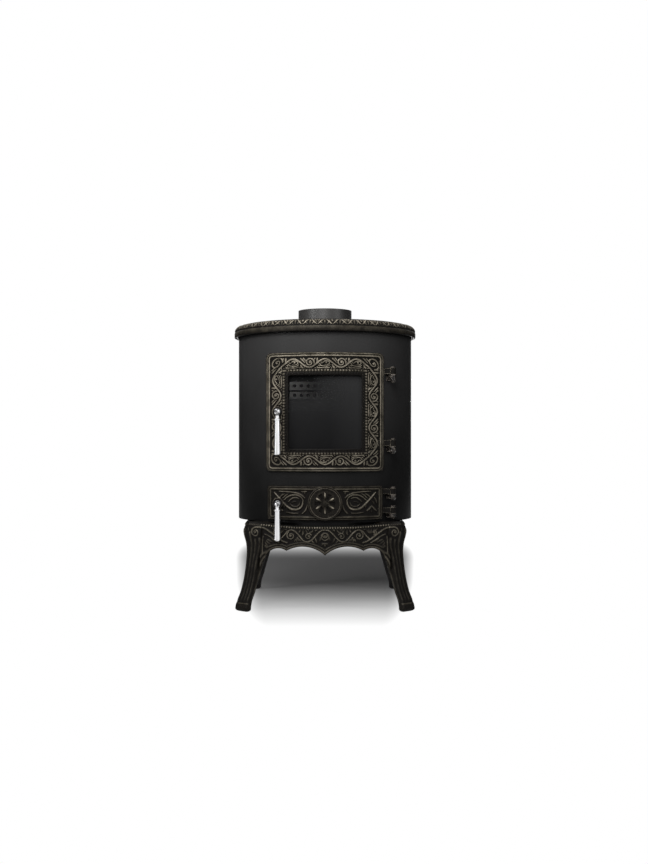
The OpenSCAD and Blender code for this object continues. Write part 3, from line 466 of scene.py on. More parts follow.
def acanthus(carve, side):
    """One panel: a bowl of nested ribs beside the seat, a stem to the outer corner, and leaves."""
    def put(u, v):
        return side * u, ash_mid + v

    for points, width, high in (
            ([(50.2, 5), (50.6, -1), (53, -7), (58, -12), (66, -14.8), (76, -14.2), (86, -8.6), (96.8, 2.1),
              (107.5, 13.9), (116, 23.5)], 2.5, 1.85),
            ([(49.5, 6.5), (54, 14), (63.5, 18.8), (76, 18.4), (86, 13.9), (94.5, 6.0)], 2.0, 1.75),
            ([(58.5, 9.8), (65, 13.0), (73, 12.2), (79, 8), (83.5, 3)], 1.8, 1.6),
            ([(57, 1), (59, -4.5), (65, -8.0), (73, -7.4), (79.5, -2.5)], 1.6, 1.5),
            ([(45.5, 11.5), (52, 18), (63, 23), (82, 25.6), (105, 26.6)], 1.9, 1.7),
            ([(66, 3), (72, 3.4), (76, 0)], 1.5, 1.1),
            ([(41.2, 26.4), (54, 26.4)], 1.7, 1.6), ([(47, 26), (45.5, 20.5)], 1.4, 1.4),
            ([(40.0, -4.0), (41.8, -10.7), (45.4, -17.5), (52.0, -23.6)], 2.0, 1.6),
            ([(106.4, -7.4), (102.5, -12.4), (96.5, -18.0)], 2.2, 1.7),
            ([(107.6, -7.8), (112, -13), (118, -18.5)], 2.2, 1.7),
            ([(92, 20.6), (98, 18.4), (103.5, 12.5)], 1.8, 1.6), ([(84, 20.8), (90, 17.4), (97, 10.5)], 1.7, 1.6),
            ([(60, -22.6), (72, -23.8), (88, -21.0)], 1.7, 1.4), ([(92, -10), (95, -4)], 1.5, 1.2),
            ([(113, 12), (117.5, 6), (118.5, -1)], 1.7, 1.4), ([(107, 5), (111, 1), (112.5, -4)], 1.5, 1.3),
            ([(106, -17.5), (106.8, -21.5)], 1.7, 1.3)):
        ribbon(carve, put, points, width * 1.2, high, 0.4)


ash_carving = Carving(-ash_hw - 2, ash_hw + 2, ash_z0 - 2, ash_z1 + 2)
for side in (-1, 1):
    acanthus(ash_carving, side)
x, z = np.meshgrid(ash_carving.x, ash_carving.z)
inset = inset_from(x, z - ash_mid, ash_hw, ash_half, 11.0)
edge = np.maximum(moulding(inset, 2.5, 2.1, 1.6), moulding(inset, 7.5, 2.9, 1.85))
ash_carving.high = np.maximum(edge, np.clip(ash_carving.high, 0, 1.8) * (inset > 11.0))
seat_r = 37.6  # edge of the round seat, which parts the face in two
# shares of the way from the face's end to the seat and of its half height, closer together at the rounded edges
u = np.concatenate([1 - np.cos(np.linspace(0, pi / 2, 9)), np.linspace(1.13, 22.2, 155)])
u /= u[-1]
v = np.sin(np.linspace(-1, 1, 97) * pi / 2) * 0.45 + np.linspace(-1, 1, 97) * 0.55
for side, name in ((-1, "ash_door_face_left"), (1, "ash_door_face_right")):
    seat_edge = np.sqrt(np.maximum(seat_r ** 2 - (v * ash_half) ** 2, 0))[None, :]
    x = ash_hw + 0.2 - u[:, None] * (ash_hw + 0.2 - seat_edge)
    from_end = np.clip((ash_hw + 0.2) * (1 - u[:, None]) - (ash_hw - ash_corner) + np.zeros_like(x), 0, ash_corner)
    half = ash_half + 0.2 - ash_corner + np.sqrt(np.maximum(ash_corner ** 2 - from_end ** 2, 0))
    z = ash_mid + half * v[None, :]
    rise = ash_carving.at(side * x, z)
    front = wrap(side * x, z, skin_r)
    front[..., 1] -= rise * lift
    back = wrap(side * x, z, 211.6)
    loops = np.concatenate([front, back[:, ::-1]], 1)
    inset = np.minimum(ash_hw - np.abs(x), ash_half - np.abs(z - ash_mid))
    tone = np.interp(inset, [4.4, 5.0, 10.8, 11.4], [0.73, 0.80, 0.80, 1.03])
    shade = np.concatenate([np.clip(rise / 1.85, 0, 1) * tone, np.full_like(rise, 0.3)], 1)
    loft(name, loops, carved_casting, "ash_door", relief=shade, crease=60)


def turned(name, profile, centre, axis, made, body, slot="relief", relief=None):
    """A piece turned on a lathe: profile gives (radius, distance along the axis) round its closed section."""
    profile, sides = np.asarray(profile, float), 96
    a = np.linspace(0, 2 * pi, sides, endpoint=False)[:, None]
    r, along = profile[:, 0][None], profile[:, 1][None]
    one, two, three = r * np.cos(a), r * np.sin(a), along + 0 * a
    local = (one, three, two) if axis == "y" else (one, two, three)
    if relief is not None:
        relief = np.broadcast_to(np.asarray(relief, float), (sides, len(profile)))
    return loft(name, np.stack(local, -1) + np.asarray(centre), made, body, ring=True, relief=relief, slot=slot)


def bead(r, y, half, high):
    """Part of a profile: a round moulding on a face that looks forward."""
    return [(r + half * cos(t), y - high * sin(t)) for t in np.linspace(0, pi, 7)]


ring_profile = ([(38.9, -206.0), (38.9, -218.4)] + bead(36.9, -219.2, 1.9, 1.5) + [(34.95, -219.0)]
                + bead(34.2, -219.1, 0.95, 1.2) + [(33.3, -218.6), (33.3, -214.75), (35.5, -214.75), (35.5, -206.0)])
ring_shade = [0.3, 0.5, 0.72, 0.8, 0.6, 0.45, 0.4, 0.4, 0.3, 0.05, 0.5, 0.75, 0.9, 0.95, 0.8, 0.6, 0.2, 0.1, 0, 0, 0]
turned("rosette_ring", ring_profile, (0, 0, ash_mid), "y", carved_casting, "ash_door", relief=ring_shade)


# Air disc: a cast disc that turns on the middle screw and opens six air holes. Six ribs like petals stand
# between the holes, and bright wear on them shows where it is gripped.
def scoured(place):
    """Bare black iron, only a little lighter where fingers have been."""
    return grain(place, 160.0, 3) * 0.75 + 0.05


dress(rubbed_iron("disc_casting", scoured), "air_spinner", "spinner_screw")
disc_back = seat_floor + 0.3
for n in range(6):
    turn = radians(30 + 60 * n)
    rows = []
    for s in np.linspace(0, 1, 25):
        r = 8.2 + 15.8 * s
        half = 0.45 + 2.9 * sin(pi * min(max(s, 0.02), 0.985)) ** 0.6 * (0.55 + 0.45 * s)
        high = 4.7 + 1.7 * sin(pi * min(max(s, 0.03), 0.97)) ** 0.5
        section = [(half * cos(t), 3.4 + (high - 3.4) * sin(t)) for t in np.linspace(0, pi, 9)]
        section += [(-half, 1.2), (-half * 0.3, 1.0), (half * 0.3, 1.0), (half, 1.2), (half, 2.4)]
        rows.append([(r * cos(turn) - a * sin(turn), -disc_back - b,
                      ash_mid + r * sin(turn) + a * cos(turn)) for a, b in section])
    shade = np.tile([0.3, 0.5, 0.8, 0.95, 1, 0.95, 0.8, 0.5, 0.3, 0.1, 0.1, 0.1, 0.1, 0.1], (25, 1))
    shade *= np.interp(np.arange(25), [0, 8, 15, 23, 24], [0.6, 0.8, 1.15, 1.25, 0.9])[:, None]
    loft(f"disc_petal_{n + 1}", rows, carved_casting, "air_spinner", relief=shade)


# Latch grips: turned steel, chromed, hanging from the latch shafts. Each has a ball on the shaft, a neck, a
# collar bead and a barrel that swells to its rounded end. Polished, with faint smudges.
grip_y, latch_x = 218.3, 108.0  # how far the grips hang in front of the stove's middle and to its left
chrome, place, shader = finish("chrome", Metallic=0.8)
smudge = grain(place, 55.0, 3, 0.6)
from_left, from_front, height = place.parts()
# painted reflections: dark lines along the barrels at fixed turns round their axis, and dark blotches on the balls,
# as the dark door would mirror in them
round_axis = place.maths("ARCTAN2", from_front + grip_y / 1000, from_left + latch_x / 1000)
painted_reflection_lines = (1 - place.maths("ABSOLUTE", place.maths("SINE", round_axis * 2 + 3.316)) * 2.2).clamp() * 0.55
on_upper, on_lower = ((height - 0.444) * 300.0).clamp(), ((height - 0.236) * 300.0).clamp()
on_ball = (on_upper + on_lower * ((0.27 - height) * 300.0).clamp()).clamp()
tone_mix = (on_ball * (grain(place, 170.0, 2) * 8.0 - 3.4).clamp() + painted_reflection_lines * (1 - on_ball)).clamp()
polished = blend(smudge, (0.70, 0.70, 0.71, 1), (0.82, 0.82, 0.83, 1))
blend(tone_mix * 0.9, polished, (0.04, 0.04, 0.042, 1)).into(shader, "Base Color")
(0.045 + smudge * 0.11).into(shader, "Roughness")
bump(grain(place, 60.0, 2), 0.00004, 0.15).into(shader, "Normal")
for name, latch, latch_z, length in (("main_handle", "main_latch", 454.5, 99.0),
                                     ("ash_handle", "ash_latch", 246.0, 85.0)):
    ball = [(7.5 * sin(t), 7.5 * cos(t)) for t in np.linspace(0.02, 2.45, 20)]
    collar_z = -length * 0.19 + 0.7
    neck = [(4.75, -6.2), (4.3, -8.2), (4.25, -(length * 0.19) + 5.0), (4.8, collar_z + 2.4)]
    collar = [(5.4 + 1.7 * sin(t), collar_z + 1.75 * cos(t)) for t in np.linspace(0.15, 2.99, 9)]
    barrel = [(5.75, collar_z - 3.0), (6.0, collar_z - 6.0)]
    for s in np.linspace(0.1, 1, 10):
        barrel.append((6.0 + 1.3 * s ** 1.4, collar_z - 6 - (length - 11 + collar_z) * s))
    end = [(7.3 * cos(t) ** 0.8 if t < 1.57 else 0.01, -length + 5.0 - 5.0 * sin(t))
           for t in np.linspace(0.12, pi / 2, 12)]
    profile = [(0.01, 7.5)] + ball[1:] + neck + collar + barrel + end + [(0.01, -length)]
    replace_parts(turned(name + "_grip", profile, (-latch_x, -grip_y, latch_z), "z", chrome, latch, slot="chrome"), name)
    stub = [(6.9, 197.4), (7.05, 198.4), (6.9, 203.5), (6.2, 206.0), (5.6, 209.0), (5.4, 214.0), (0.01, 214.0),
            (0.01, 197.4)]
    turned(name + "_hub", [(r, -y) for r, y in stub], (-latch_x, 0, latch_z), "y", chrome, latch, slot="chrome")


# Glass: curved ceramic glass in the door, smoked grey by use. Painted shade: it is opaque and dark but for its upper
# left, for the dark inside of the firebox. Painted reflection: it is lighter towards its top and right side and
# where it is clear. It lies in a flat woven tape, and the door ropes lie in grooves in the backs of the two doors:
# knitted glass fibre, off white gone grey.
glass, place, shader = finish("door_glass", Specular_IOR_Level=0.0, Roughness=0.12)
haze = grain(place, 6.0, 4, 0.65)
across, _, height = place.parts()
# painted reflection: lighter towards the top, towards the right side and where the glass is clear
painted_top_reflection = (height * 5.5 - 2.15 + haze * 0.5).clamp()
open_view = (height * 24.0 - 10.95 + haze * 0.25).clamp()
clear = open_view * (0.64 - across * 13.0).clamp()
painted_reflection = (painted_top_reflection * 0.30 + clear * 0.36 + (across * 7.0 - 0.08).clamp() * 0.40).clamp()
blend(painted_reflection, (0.0040, 0.0040, 0.0042, 1), (0.033, 0.033, 0.0335, 1)).into(shader, "Base Color")
(1 - clear * 0.90).into(shader, "Alpha")
dress(glass, "door_glass")

rope, place, shader = finish("seal_rope", Specular_IOR_Level=0.15)
knit = place.node("TexWave", {"bands_direction": "DIAGONAL"}, {"Vector": place, "Scale": 260.0, "Distortion": 1.5})
fibre = grain(place, 2400.0, 2)
soiled = grain(place, 30.0, 4, 0.6)
worn = (knit * 0.5 + soiled * 0.7 - 0.1).clamp()
blend(worn, (0.13, 0.12, 0.105, 1), (0.52, 0.50, 0.45, 1)).into(shader, "Base Color")
(0.86 + fibre * 0.12).into(shader, "Roughness")
bump(knit + fibre * 0.4, 0.0006, 0.8).into(shader, "Normal")
dress(rope, "main_rope", "ash_rope", "glass_gasket", "top_gasket", "collar_gasket")


# Inside of the stove: cast lining, grate, baffle, frames and pan rails. Bare iron that has been fired: dull
# brown black, dusted with pale ash where it lies flat.
furnace, place, shader = finish("furnace_iron", Specular_IOR_Level=0.3, Metallic=0.25)
soot = grain(place, 24.0, 5, 0.65)
pits = grain(place, 700.0, 3)
up = place.node("NewGeometry", out=1).parts()[2]
ash_dust = (up * 0.9 - 0.35 + soot * 0.5).clamp()
burnt = blend(soot, (0.022, 0.019, 0.017, 1), (0.075, 0.060, 0.050, 1))
blend(ash_dust * 0.45, burnt, (0.32, 0.30, 0.28, 1)).into(shader, "Base Color")
(0.66 + soot * 0.22).into(shader, "Roughness")
bump(pits * 0.5 + soot * 2.0, 0.0002, 0.4).into(shader, "Normal")
dress(furnace, "main_frame", "ash_frame", "liner_left", "liner_rear", "liner_right", "log_guard",
      "carrier_brackets", "grate_carrier", "fire_grate", "baffle_brackets", "baffle_plate", "pan_runners")


# Air channels: two strips of folded sheet on the rear wall with a row of holes each. The bare sheet is made far
# lighter than the iron round it, painted light for the light that reaches it through the window.
air_sheet, place, shader = finish("air_sheet", Specular_IOR_Level=0.2, Metallic=0.2)
tone_mix = grain(place, 45.0, 4, 0.6)
blend(tone_mix, (0.50, 0.49, 0.48, 1), (0.84, 0.83, 0.81, 1)).into(shader, "Base Color")
(0.5 + tone_mix * 0.2).into(shader, "Roughness")
bump(grain(place, 500.0, 2), 0.0001, 0.4).into(shader, "Normal")
dress(air_sheet, "upper_air_strip", "lower_air_strip")


# Steel fittings: bolts, latch shafts, tongues and nuts, keepers, glass clips and the folded ash pan. Zinc
# plated or bare sheet, with fine brushing and a grey bloom from heat.
steel, place, shader = finish("steel", Metallic=0.9)
bloom = grain(place, 60.0, 4, 0.6)
brushed = place.node("Mapping", inputs={"Vector": place, "Scale": (1.0, 1.0, 12.0)})
scratch = grain(brushed, 420.0, 2)
blend(bloom, (0.24, 0.235, 0.225, 1), (0.47, 0.465, 0.45, 1)).into(shader, "Base Color")
(0.34 + bloom * 0.18 + scratch * 0.08).into(shader, "Roughness")
bump(scratch, 0.0001, 0.5).into(shader, "Normal")
dress(steel, "base_bolts", "drum_bolts", "main_keeper", "ash_keeper", "collar_bolts", "ash_pan", "glass_clips",
      "clip_screws", "main_latch_shaft", "main_latch_tongue", "main_latch_nut", "ash_latch_shaft",
      "ash_latch_tongue", "ash_latch_nut")


# Flue collar: a cast iron ring that the flue pipe stands in. It is turned smooth, painted like the drum and
# bolted to the top plate by its flange.
collar_paint, place, shader = finish("collar_paint", Specular_IOR_Level=0.3)
cloud = grain(place, 14.0, 4, 0.6)
speckle = grain(place, 1300.0, 2)
blend(cloud, (0.006, 0.0058, 0.0056, 1), (0.020, 0.019, 0.018, 1)).into(shader, "Base Color")
(0.36 + cloud * 0.16).into(shader, "Roughness")
bump(speckle + cloud, 0.00016, 0.5).into(shader, "Normal")
dress(collar_paint, "flue_collar")


# Top plate: a round casting with a smooth upright lip and a rounded shoulder. A vine runs round the shoulder,
# with a tulip and a bud in turn in its hollows and leaves between them. A skirt hangs down outside the drum.
shoulder_r, lip_z, skirt_z, top_z, under_z = 206.0, 651.0, 638.0, 667.0, 656.0
flue_hole_r, skirt_r, vine_r = 56.0, 212.0, 217.0
repeat = 2 * pi * vine_r / 20  # length of one of the twenty repeats
arc_r = 13.6  # of the rounded shoulder
band = arc_r * pi / 2
rim_carving = Carving(-repeat / 2 - 8, repeat / 2 + 8, -2, band + 2, step=0.3)
for shift in (-repeat, 0, repeat):
    def put(u, v):
        return u + shift, v

    p = np.linspace(-repeat / 2, repeat / 2, 73)
    flank = np.abs(np.sin(4 * pi * p / repeat))
    rim_carving.stroke([put(*at) for at in zip(p, 9.6 - 7.0 * np.cos(4 * pi * p / repeat))],
                       1.15 + 1.15 * flank ** 2, 0.85 + 0.5 * flank)
    for side in (-1, 1):
        for out, up, lean, long, wide, high, bend in (
                (1.0, 6.4, -42, 10.0, 2.3, 1.4, 0.6), (0.8, 9.0, -24, 6.0, 1.5, 1.3, 0.3),
                (29.0, 7.2, 28, 6.5, 1.7, 1.25, -0.5), (17.0, 2.2, 2, 10.0, 2.3, 1.25, 0),
                (12.6, 1.6, 36, 6.0, 1.7, 1.15, 0), (21.4, 1.6, -36, 6.0, 1.7, 1.15, 0)):
            teardrop(rim_carving, put, (side * out, up), 90 + side * lean, long, wide, high, side * bend)
    rim_carving.dot(*put(0, 15.6), 2.5, 1.4)
    rim_carving.dot(*put(repeat / 2, 11.4), 3.1, 1.4)
    rim_carving.dot(*put(repeat / 2, 17.4), 1.9, 1.2)
steps = 54
fall = np.linspace(0, pi / 2, steps)  # from the top of the shoulder down to the lip
columns = 1360
az = np.arange(columns) * 2 * pi / columns
place_u = ((az * vine_r + repeat * 0.75) % repeat - repeat / 2)[:, None]
rise = rim_carving.at(np.broadcast_to(place_u, (columns, steps)),
                      np.broadcast_to(band * (1 - fall / (pi / 2)), (columns, steps)))
r = shoulder_r + (arc_r + rise * 1.04) * np.sin(fall)[None]
z = lip_z + (arc_r + rise * 1.2) * np.cos(fall)[None]


def rim_ring(points):
    """The same points of the section in every direction round the plate."""
    return np.broadcast_to(np.array(points, float), (columns, len(points), 2))


inner = rim_ring([(flue_hole_r, under_z), (flue_hole_r, top_z - 0.6), (flue_hole_r + 0.6, top_z), (130.0, top_z),
                  (202.0, top_z), (203.6, top_z - 0.4), (204.6, top_z - 1.6)])
outer = rim_ring([(220.2, lip_z - 0.8), (220.9, lip_z - 2.4), (220.9, skirt_z + 2.0), (220.4, skirt_z + 0.5),
                  (219.0, skirt_z), (skirt_r + 1.2, skirt_z), (skirt_r + 0.2, skirt_z + 0.8),
                  (skirt_r, skirt_z + 2.5), (skirt_r, under_z), (130.0, under_z)])
section = np.concatenate([inner, np.stack([r, z], -1), outer], 1)
# the lip keeps bronze on its rounded top corner, and its face is darker towards its foot: painted shade
shade = np.concatenate([np.full((columns, 7), 0.34), np.clip(rise / 1.25, 0, 1.12),
                        np.tile([0.52, 0.56, 0.34, 0.12, 0.05, 0, 0, 0, 0, 0], (columns, 1))], 1)
ring_points = np.stack([section[..., 0] * np.sin(az)[:, None], -section[..., 0] * np.cos(az)[:, None],
                        section[..., 1]], -1)
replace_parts(loft("top_plate_casting", ring_points, carved_casting, "stove", ring=True, relief=shade, crease=50),
            "top_plate")


# Base: a front and a rear casting, each with two cabriole legs, joined by rails at the sides. Every apron is a
# pierced-looking curtain with a vine, a row of beads on top and a double moulding along its scalloped edge.
bow_r, bow_y, apron_t = 367.5, 143.5, 6.0  # the bow's radius, its middle behind the stove's, wall
apron_hw = 149.0
bead_pitch = 5.8


def arc_through(p, q, r, x):
    """Height at x of the circle through three points, taken on its upper side."""
    (px, pz), (qx, qz), (rx, rz) = p, q, r
    d = 2 * (px * (qz - rz) + qx * (rz - pz) + rx * (pz - qz))
    pp, qq, rr = px * px + pz * pz, qx * qx + qz * qz, rx * rx + rz * rz
    cx = (pp * (qz - rz) + qq * (rz - pz) + rr * (pz - qz)) / d
    cz = (pp * (rx - qx) + qq * (px - rx) + rr * (qx - px)) / d
    return cz + np.sqrt(np.maximum((px - cx) ** 2 + (pz - cz) ** 2 - (x - cx) ** 2, 0))


def front_edge(x):
    """Lower edge of a bowed apron."""
    x = np.abs(x)
    inner = arc_through((0, 129.5), (50, 149), (87.5, 139), np.minimum(x, 87.5))
    outer = arc_through((87.5, 139), (106, 144.5), (136, 121), np.clip(x, 87.5, 136))
    down = np.maximum(x - 136, 0)
    return np.where(x < 87.5, inner, np.where(x < 136, outer, 121 - down - down ** 2 * 0.08))


def front_top(x):
    """Upper edge of a bowed apron, which rises to the legs."""
    x = np.abs(x)
    return np.where(x < 70, 196.0, 196.0 + (x - 70) * 5.0 / (apron_hw - 70))


def apron_carving(half, edge, top, vines, leaves, spirals):
    """The vine, beads and mouldings of one apron, in the plane of its face."""
    carve = Carving(-half - 2, half + 2, 100, 204)
    for side in (-1, 1):
        def put(u, v):
            return side * u, v

        for centre, radius, hand, begin, coils in spirals:
            scroll(carve, put, centre, radius, hand, begin, coils, 2.0, 1.7, radius * 0.26)
        for points, width in vines:
            ribbon(carve, put, points, width, 1.7, 0.15)
        for root, angle, long, wide in leaves:
            teardrop(carve, put, root, angle, long, wide * 1.3, 1.6)
    x, z = np.meshgrid(carve.x, carve.z)
    over = z - edge(x)
    slope = np.gradient(edge(carve.x), carve.step)
    over = over / np.sqrt(1 + np.clip(slope, -7, 7) ** 2)[None, :]
    under = top(x) - z
    low = np.maximum(moulding(over, 3.0, 2.6, 1.5), moulding(over, 8.6, 2.0, 1.35))
    beads = np.hypot((x / bead_pitch + 0.5) % 1 * bead_pitch - bead_pitch / 2, under - 4.2)
    beads = 2.0 * np.clip(1 - (beads / 2.65) ** 2, 0, 1) ** 0.5
    rail = moulding(under, 8.2, 0.8, 0.9)
    vine = np.clip(carve.high, 0, 1.75) * ((over > 8.5) & (under > 8.4))
    carve.high = np.maximum.reduce([low, vine, beads, rail])
    return carve


front_carving = apron_carving(apron_hw, front_edge, front_top, [
    ([(0, 187), (7, 186.5), (14, 181.5), (21, 174), (29, 165), (38, 159.5), (47, 161), (54, 168), (61, 177),
      (69, 184.5), (78, 187), (86, 183)], 2.2),
    ([(86, 183), (93, 174), (101, 166)], 2.2),
    ([(86, 157.5), (96, 160.5), (108, 168), (121, 178), (134, 187), (142, 190.5), (150, 189)], 2.4),
    ([(104, 157), (116, 164), (128, 172), (138, 176)], 1.7),
    ([(141.5, 171), (142.5, 158), (143, 144), (143.5, 128)], 1.9),
    ([(7, 156.5), (0, 156.5)], 1.2),
], [
    ((0, 149), 90, 4.5, 2.2), ((9, 151), 140, 9, 1.5), ((12, 160), 100, 8, 1.7), ((8, 163), 70, 7, 1.6),
    ((18, 157), 70, 10, 1.9), ((23, 155), 48, 9, 1.8), ((27.5, 184), -28, 9, 1.6), ((47, 183), -60, 8, 1.6),
    ((15, 189), -30, 8, 1.6), ((26, 189), -62, 8, 1.7), ((45, 189), -120, 9, 1.8), ((50, 188.5), -92, 10, 1.9),
    ((54.5, 189), -62, 8, 1.7), ((30, 189), -12, 9, 1.4),
    ((57, 158.5), 62, 12, 2.1), ((63, 157), 75, 9, 1.9), ((52, 159), 48, 8, 1.5), ((93, 188), -50, 10, 2.0),
    ((99, 189), -78, 10, 2.0), ((106, 189), -100, 10, 2.0), ((114, 189), -118, 10, 1.9), ((121, 190), -140, 9, 1.7),
    ((111, 158), 38, 13, 2.0), ((118, 157), 28, 14, 2.0), ((124, 152), 40, 13, 1.9), ((129, 146), 56, 12, 1.8),
    ((133, 139), 70, 11, 1.7), ((84, 189.5), -20, 7, 1.4), ((70, 158), 110, 7, 1.6),
], [
    ((0, 173.0), 9.8, 1, -90, 1.2), ((37.5, 172.0), 7.6, -1, 150, 1.25), ((77.5, 173.5), 9.8, -1, 60, 1.35),
    ((113, 180.0), 5.6, 1, 250, 1.2),
])


def apron(name, half, edge, top, carve, lay, back_lay, rows, columns=330):
    """A carved slab between its lower and upper edge. lay(x, z, out) puts a point of the face in place."""
    x = np.sort(np.concatenate([np.linspace(-half, half, columns), [-87.5, 0.0, 87.5]]))[:, None]
    v = np.linspace(0, 1, rows)[None]
    z = edge(x) * (1 - v) + top(x) * v
    x = np.broadcast_to(x, z.shape)
    rise = carve.at(x, z)
    front, back = lay(x, z, np.minimum(rise, 1.7)), back_lay(x, z)
    loops = np.concatenate([front, back[:, ::-1]], 1)
    shade = np.concatenate([np.clip(rise / 1.7, 0, 1.15) * 0.95, np.full_like(rise, 0.25)], 1)
    return loft(name, loops, carved_casting, "stove", relief=shade, crease=60)


def lug_section(near, far, low=190.0, high=196.0):
    """Section of a lug that runs in under the base plate, with its inner edge eased."""
    return [(near, low + 0.4), (near + 0.6, low), (far, low), (far, high), (near + 0.6, high), (near, high - 0.4)]


for name, facing in (("front", -1), ("rear", 1)):
    def on_bow(x, z, out):
        return np.stack([x, facing * (np.sqrt((bow_r - 0.2) ** 2 - x ** 2) - bow_y + out), z], -1)

    def behind_bow(x, z):
        return np.stack([x, facing * (np.sqrt((bow_r - apron_t) ** 2 - x ** 2) - bow_y), z], -1)

    piece = apron(f"apron_{name}", apron_hw, front_edge, front_top, front_carving, on_bow, behind_bow, 78)
    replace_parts(piece, f"leg_frame_{name}")
    rows = []
    for lug_x in np.linspace(-66, 66, 25):
        reach = sqrt((bow_r - apron_t / 2) ** 2 - lug_x ** 2) - bow_y
        rows.append([(lug_x, facing * out, z) for out, z in lug_section(163.0, reach)])
    loft(f"apron_lug_{name}", rows, plain_casting, "stove")


# Legs: cabriole legs with three flutes between raised ribs, which start in drops under the knee and end above
# a rounded block of a foot. Their stations are the casting's own: height, distance out, half width, thickness.
leg_line = np.array([
    (0, 279.5, 17, 15), (4, 282.5, 19.4, 18), (12, 282.5, 19.4, 19), (24, 278, 18.6, 18.5), (42, 268.5, 17.8, 18.5),
    (64, 260.5, 17.6, 20), (92, 253.5, 17.8, 25), (116, 249, 18.6, 30), (136, 245.3, 21.5, 35), (156, 244.4, 26, 41),
    (168, 247.5, 27.6, 44), (180, 250, 28, 48), (190, 248, 27.8, 50), (197, 243.5, 26.6, 49), (201.7, 236, 24.5, 46)])
heights = np.concatenate([[0, 0.25, 0.9, 1.9, 3.1, 4.5, 7.0], np.linspace(10, 198, 205), [199.5, 200.8, 201.7]])
sole_r, block_z = 4.5, 20.5  # rounding under the foot, top of its block
splay = radians(43)  # of each leg from straight ahead


def along_leg(column, z):
    """A leg's size at a height: smooth through its stations."""
    s, y = leg_line[:, 0], leg_line[:, column]
    slope = np.gradient(y, s)
    k = np.clip(np.searchsorted(s, z, side="right") - 1, 0, len(s) - 2)
    h = s[k + 1] - s[k]
    t = (z - s[k]) / h
    return ((1 + 2 * t) * (1 - t) ** 2 * y[k] + t * (1 - t) ** 2 * h * slope[k]
            + t * t * (3 - 2 * t) * y[k + 1] + t * t * (t - 1) * h * slope[k + 1])


leg_carving = Carving(-32, 32, 0, 203)
rib_line = np.linspace(23, 186, 60)
widths = np.array([along_leg(2, h) for h in rib_line])
for foot_at, knee_at, top in ((-0.84, -0.86, 184), (-0.28, -0.15, 179), (0.28, 0.36, 162), (0.84, 0.86, 165)):
    up = rib_line[rib_line < top]
    s = (foot_at + (knee_at - foot_at) * (up - 23) / 150) * widths[:len(up)]
    leg_carving.stroke(np.stack([s, up], 1), widths[:len(up)] * 0.15, np.clip((up - 21) / 8, 0.2, 1) * 1.5)
    leg_carving.dot(s[-1], up[-1], 4.2, 1.6)


def on_leg(s, z):
    return s, z


def on_knee(s, z):
    """The knee scroll is laid out wider than high, so that it looks round from the front."""
    return 14.5 + s * 1.2, z


scroll(leg_carving, on_knee, (0, 179.8), 12.2, 1, 70, 1.45, 2.5, 1.7, 2.8, [(13, 190), (9, 192)])
teardrop(leg_carving, on_leg, (-12, 191), -72, 9, 1.8, 1.3)
teardrop(leg_carving, on_leg, (3, 191), -110, 8, 1.6, 1.2)
teardrop(leg_carving, on_leg, (-21, 190), -80, 8, 1.7, 1.2)
for n in range(-5, 6):
    leg_carving.dot(n * bead_pitch, 196.5, 2.4, 1.3)
face_steps = np.linspace(-1, 1, 61)
for name in ("front_left", "front_right", "rear_left", "rear_right"):
    right, front_leg = (1 if "right" in name else -1), (-1 if "front" in name else 1)
    out_x, out_y = right * sin(splay), front_leg * cos(splay)
    rows, shades = [], []
    for h in heights:
        f, half, thick = (float(along_leg(c, h)) for c in (1, 2, 3))
        shrink = sole_r - sqrt(sole_r ** 2 - max(sole_r - h, 0) ** 2)
        f, half, thick = f - shrink, half - shrink, thick - 2 * shrink
        s = face_steps * half
        rise = leg_carving.at(s, np.full_like(s, h))
        rise = np.maximum(rise, np.clip((block_z - h) / 1.5, 0, 1) * 0.8)
        corner = np.clip((np.abs(face_steps) - 0.80) / 0.20, 0, 1)
        face = f - 1.55 + rise - 4.6 * (1 - np.sqrt(1 - (corner * 0.96) ** 2)) - 0.6 * face_steps ** 2
        side = np.linspace(face[0] - 1.0, f - thick + 5.5, 9)
        swell = np.array([0, 0, 0, 0, 0, 0.05, 0.5, 0.85, 0.55]) * (h > 20)
        back = f - thick
        one_side = [(a, half - 0.85 + b) for a, b in zip(side, swell)]
        one_side += [(back + 3.0, half - 0.6), (back + 0.9, half - 2.4), (back, half - 5)]
        section = list(zip(face, s)) + one_side + [(back, 0.0)] + [(a, -b) for a, b in one_side[::-1]]
        # across runs towards the middle of the apron on every leg
        rows.append([(a * out_x - b * right * abs(out_y), a * out_y + b * front_leg * abs(out_x), h)
                     for a, b in section])
        flank = list(0.42 + swell * 0.45)
        knee = np.clip((h - 150) / 25, 0, 1)
        # painted highlight: a bright line along the top edge of the foot's block
        tone = 0.16 + rise / 1.5 * (0.47 + 0.31 * knee) + 0.4 * (block_z - 3 < h < block_z - 0.3)
        shades.append(list(tone) + flank + [0.5, 0.3, 0.2, 0.2, 0.2, 0.3, 0.5] + flank[::-1])
    loft(f"leg_{name}", rows, carved_casting, "stove", relief=np.array(shades), crease=50)


# Side rails: flat cast iron curtains that join the two leg castings, with the same vine and beads as the aprons.
# A lug on the inside of each runs in under the base plate.
rail_x, rail_t, rail_half = 183.0, 6.0, 168.0


def rail_edge(y):
    """Lower edge of a side rail: two arches that meet in a middle cusp."""
    y = np.abs(y)
    arch = arc_through((0, 143.5), (56, 161), (112, 147), np.minimum(y, 112))
    return np.where(y < 112, arch, 147 + (y - 112) * 0.5)


def rail_top(y):
    """Upper edge of a side rail, which is level."""
    return np.full_like(np.asarray(y, float), 201.0)


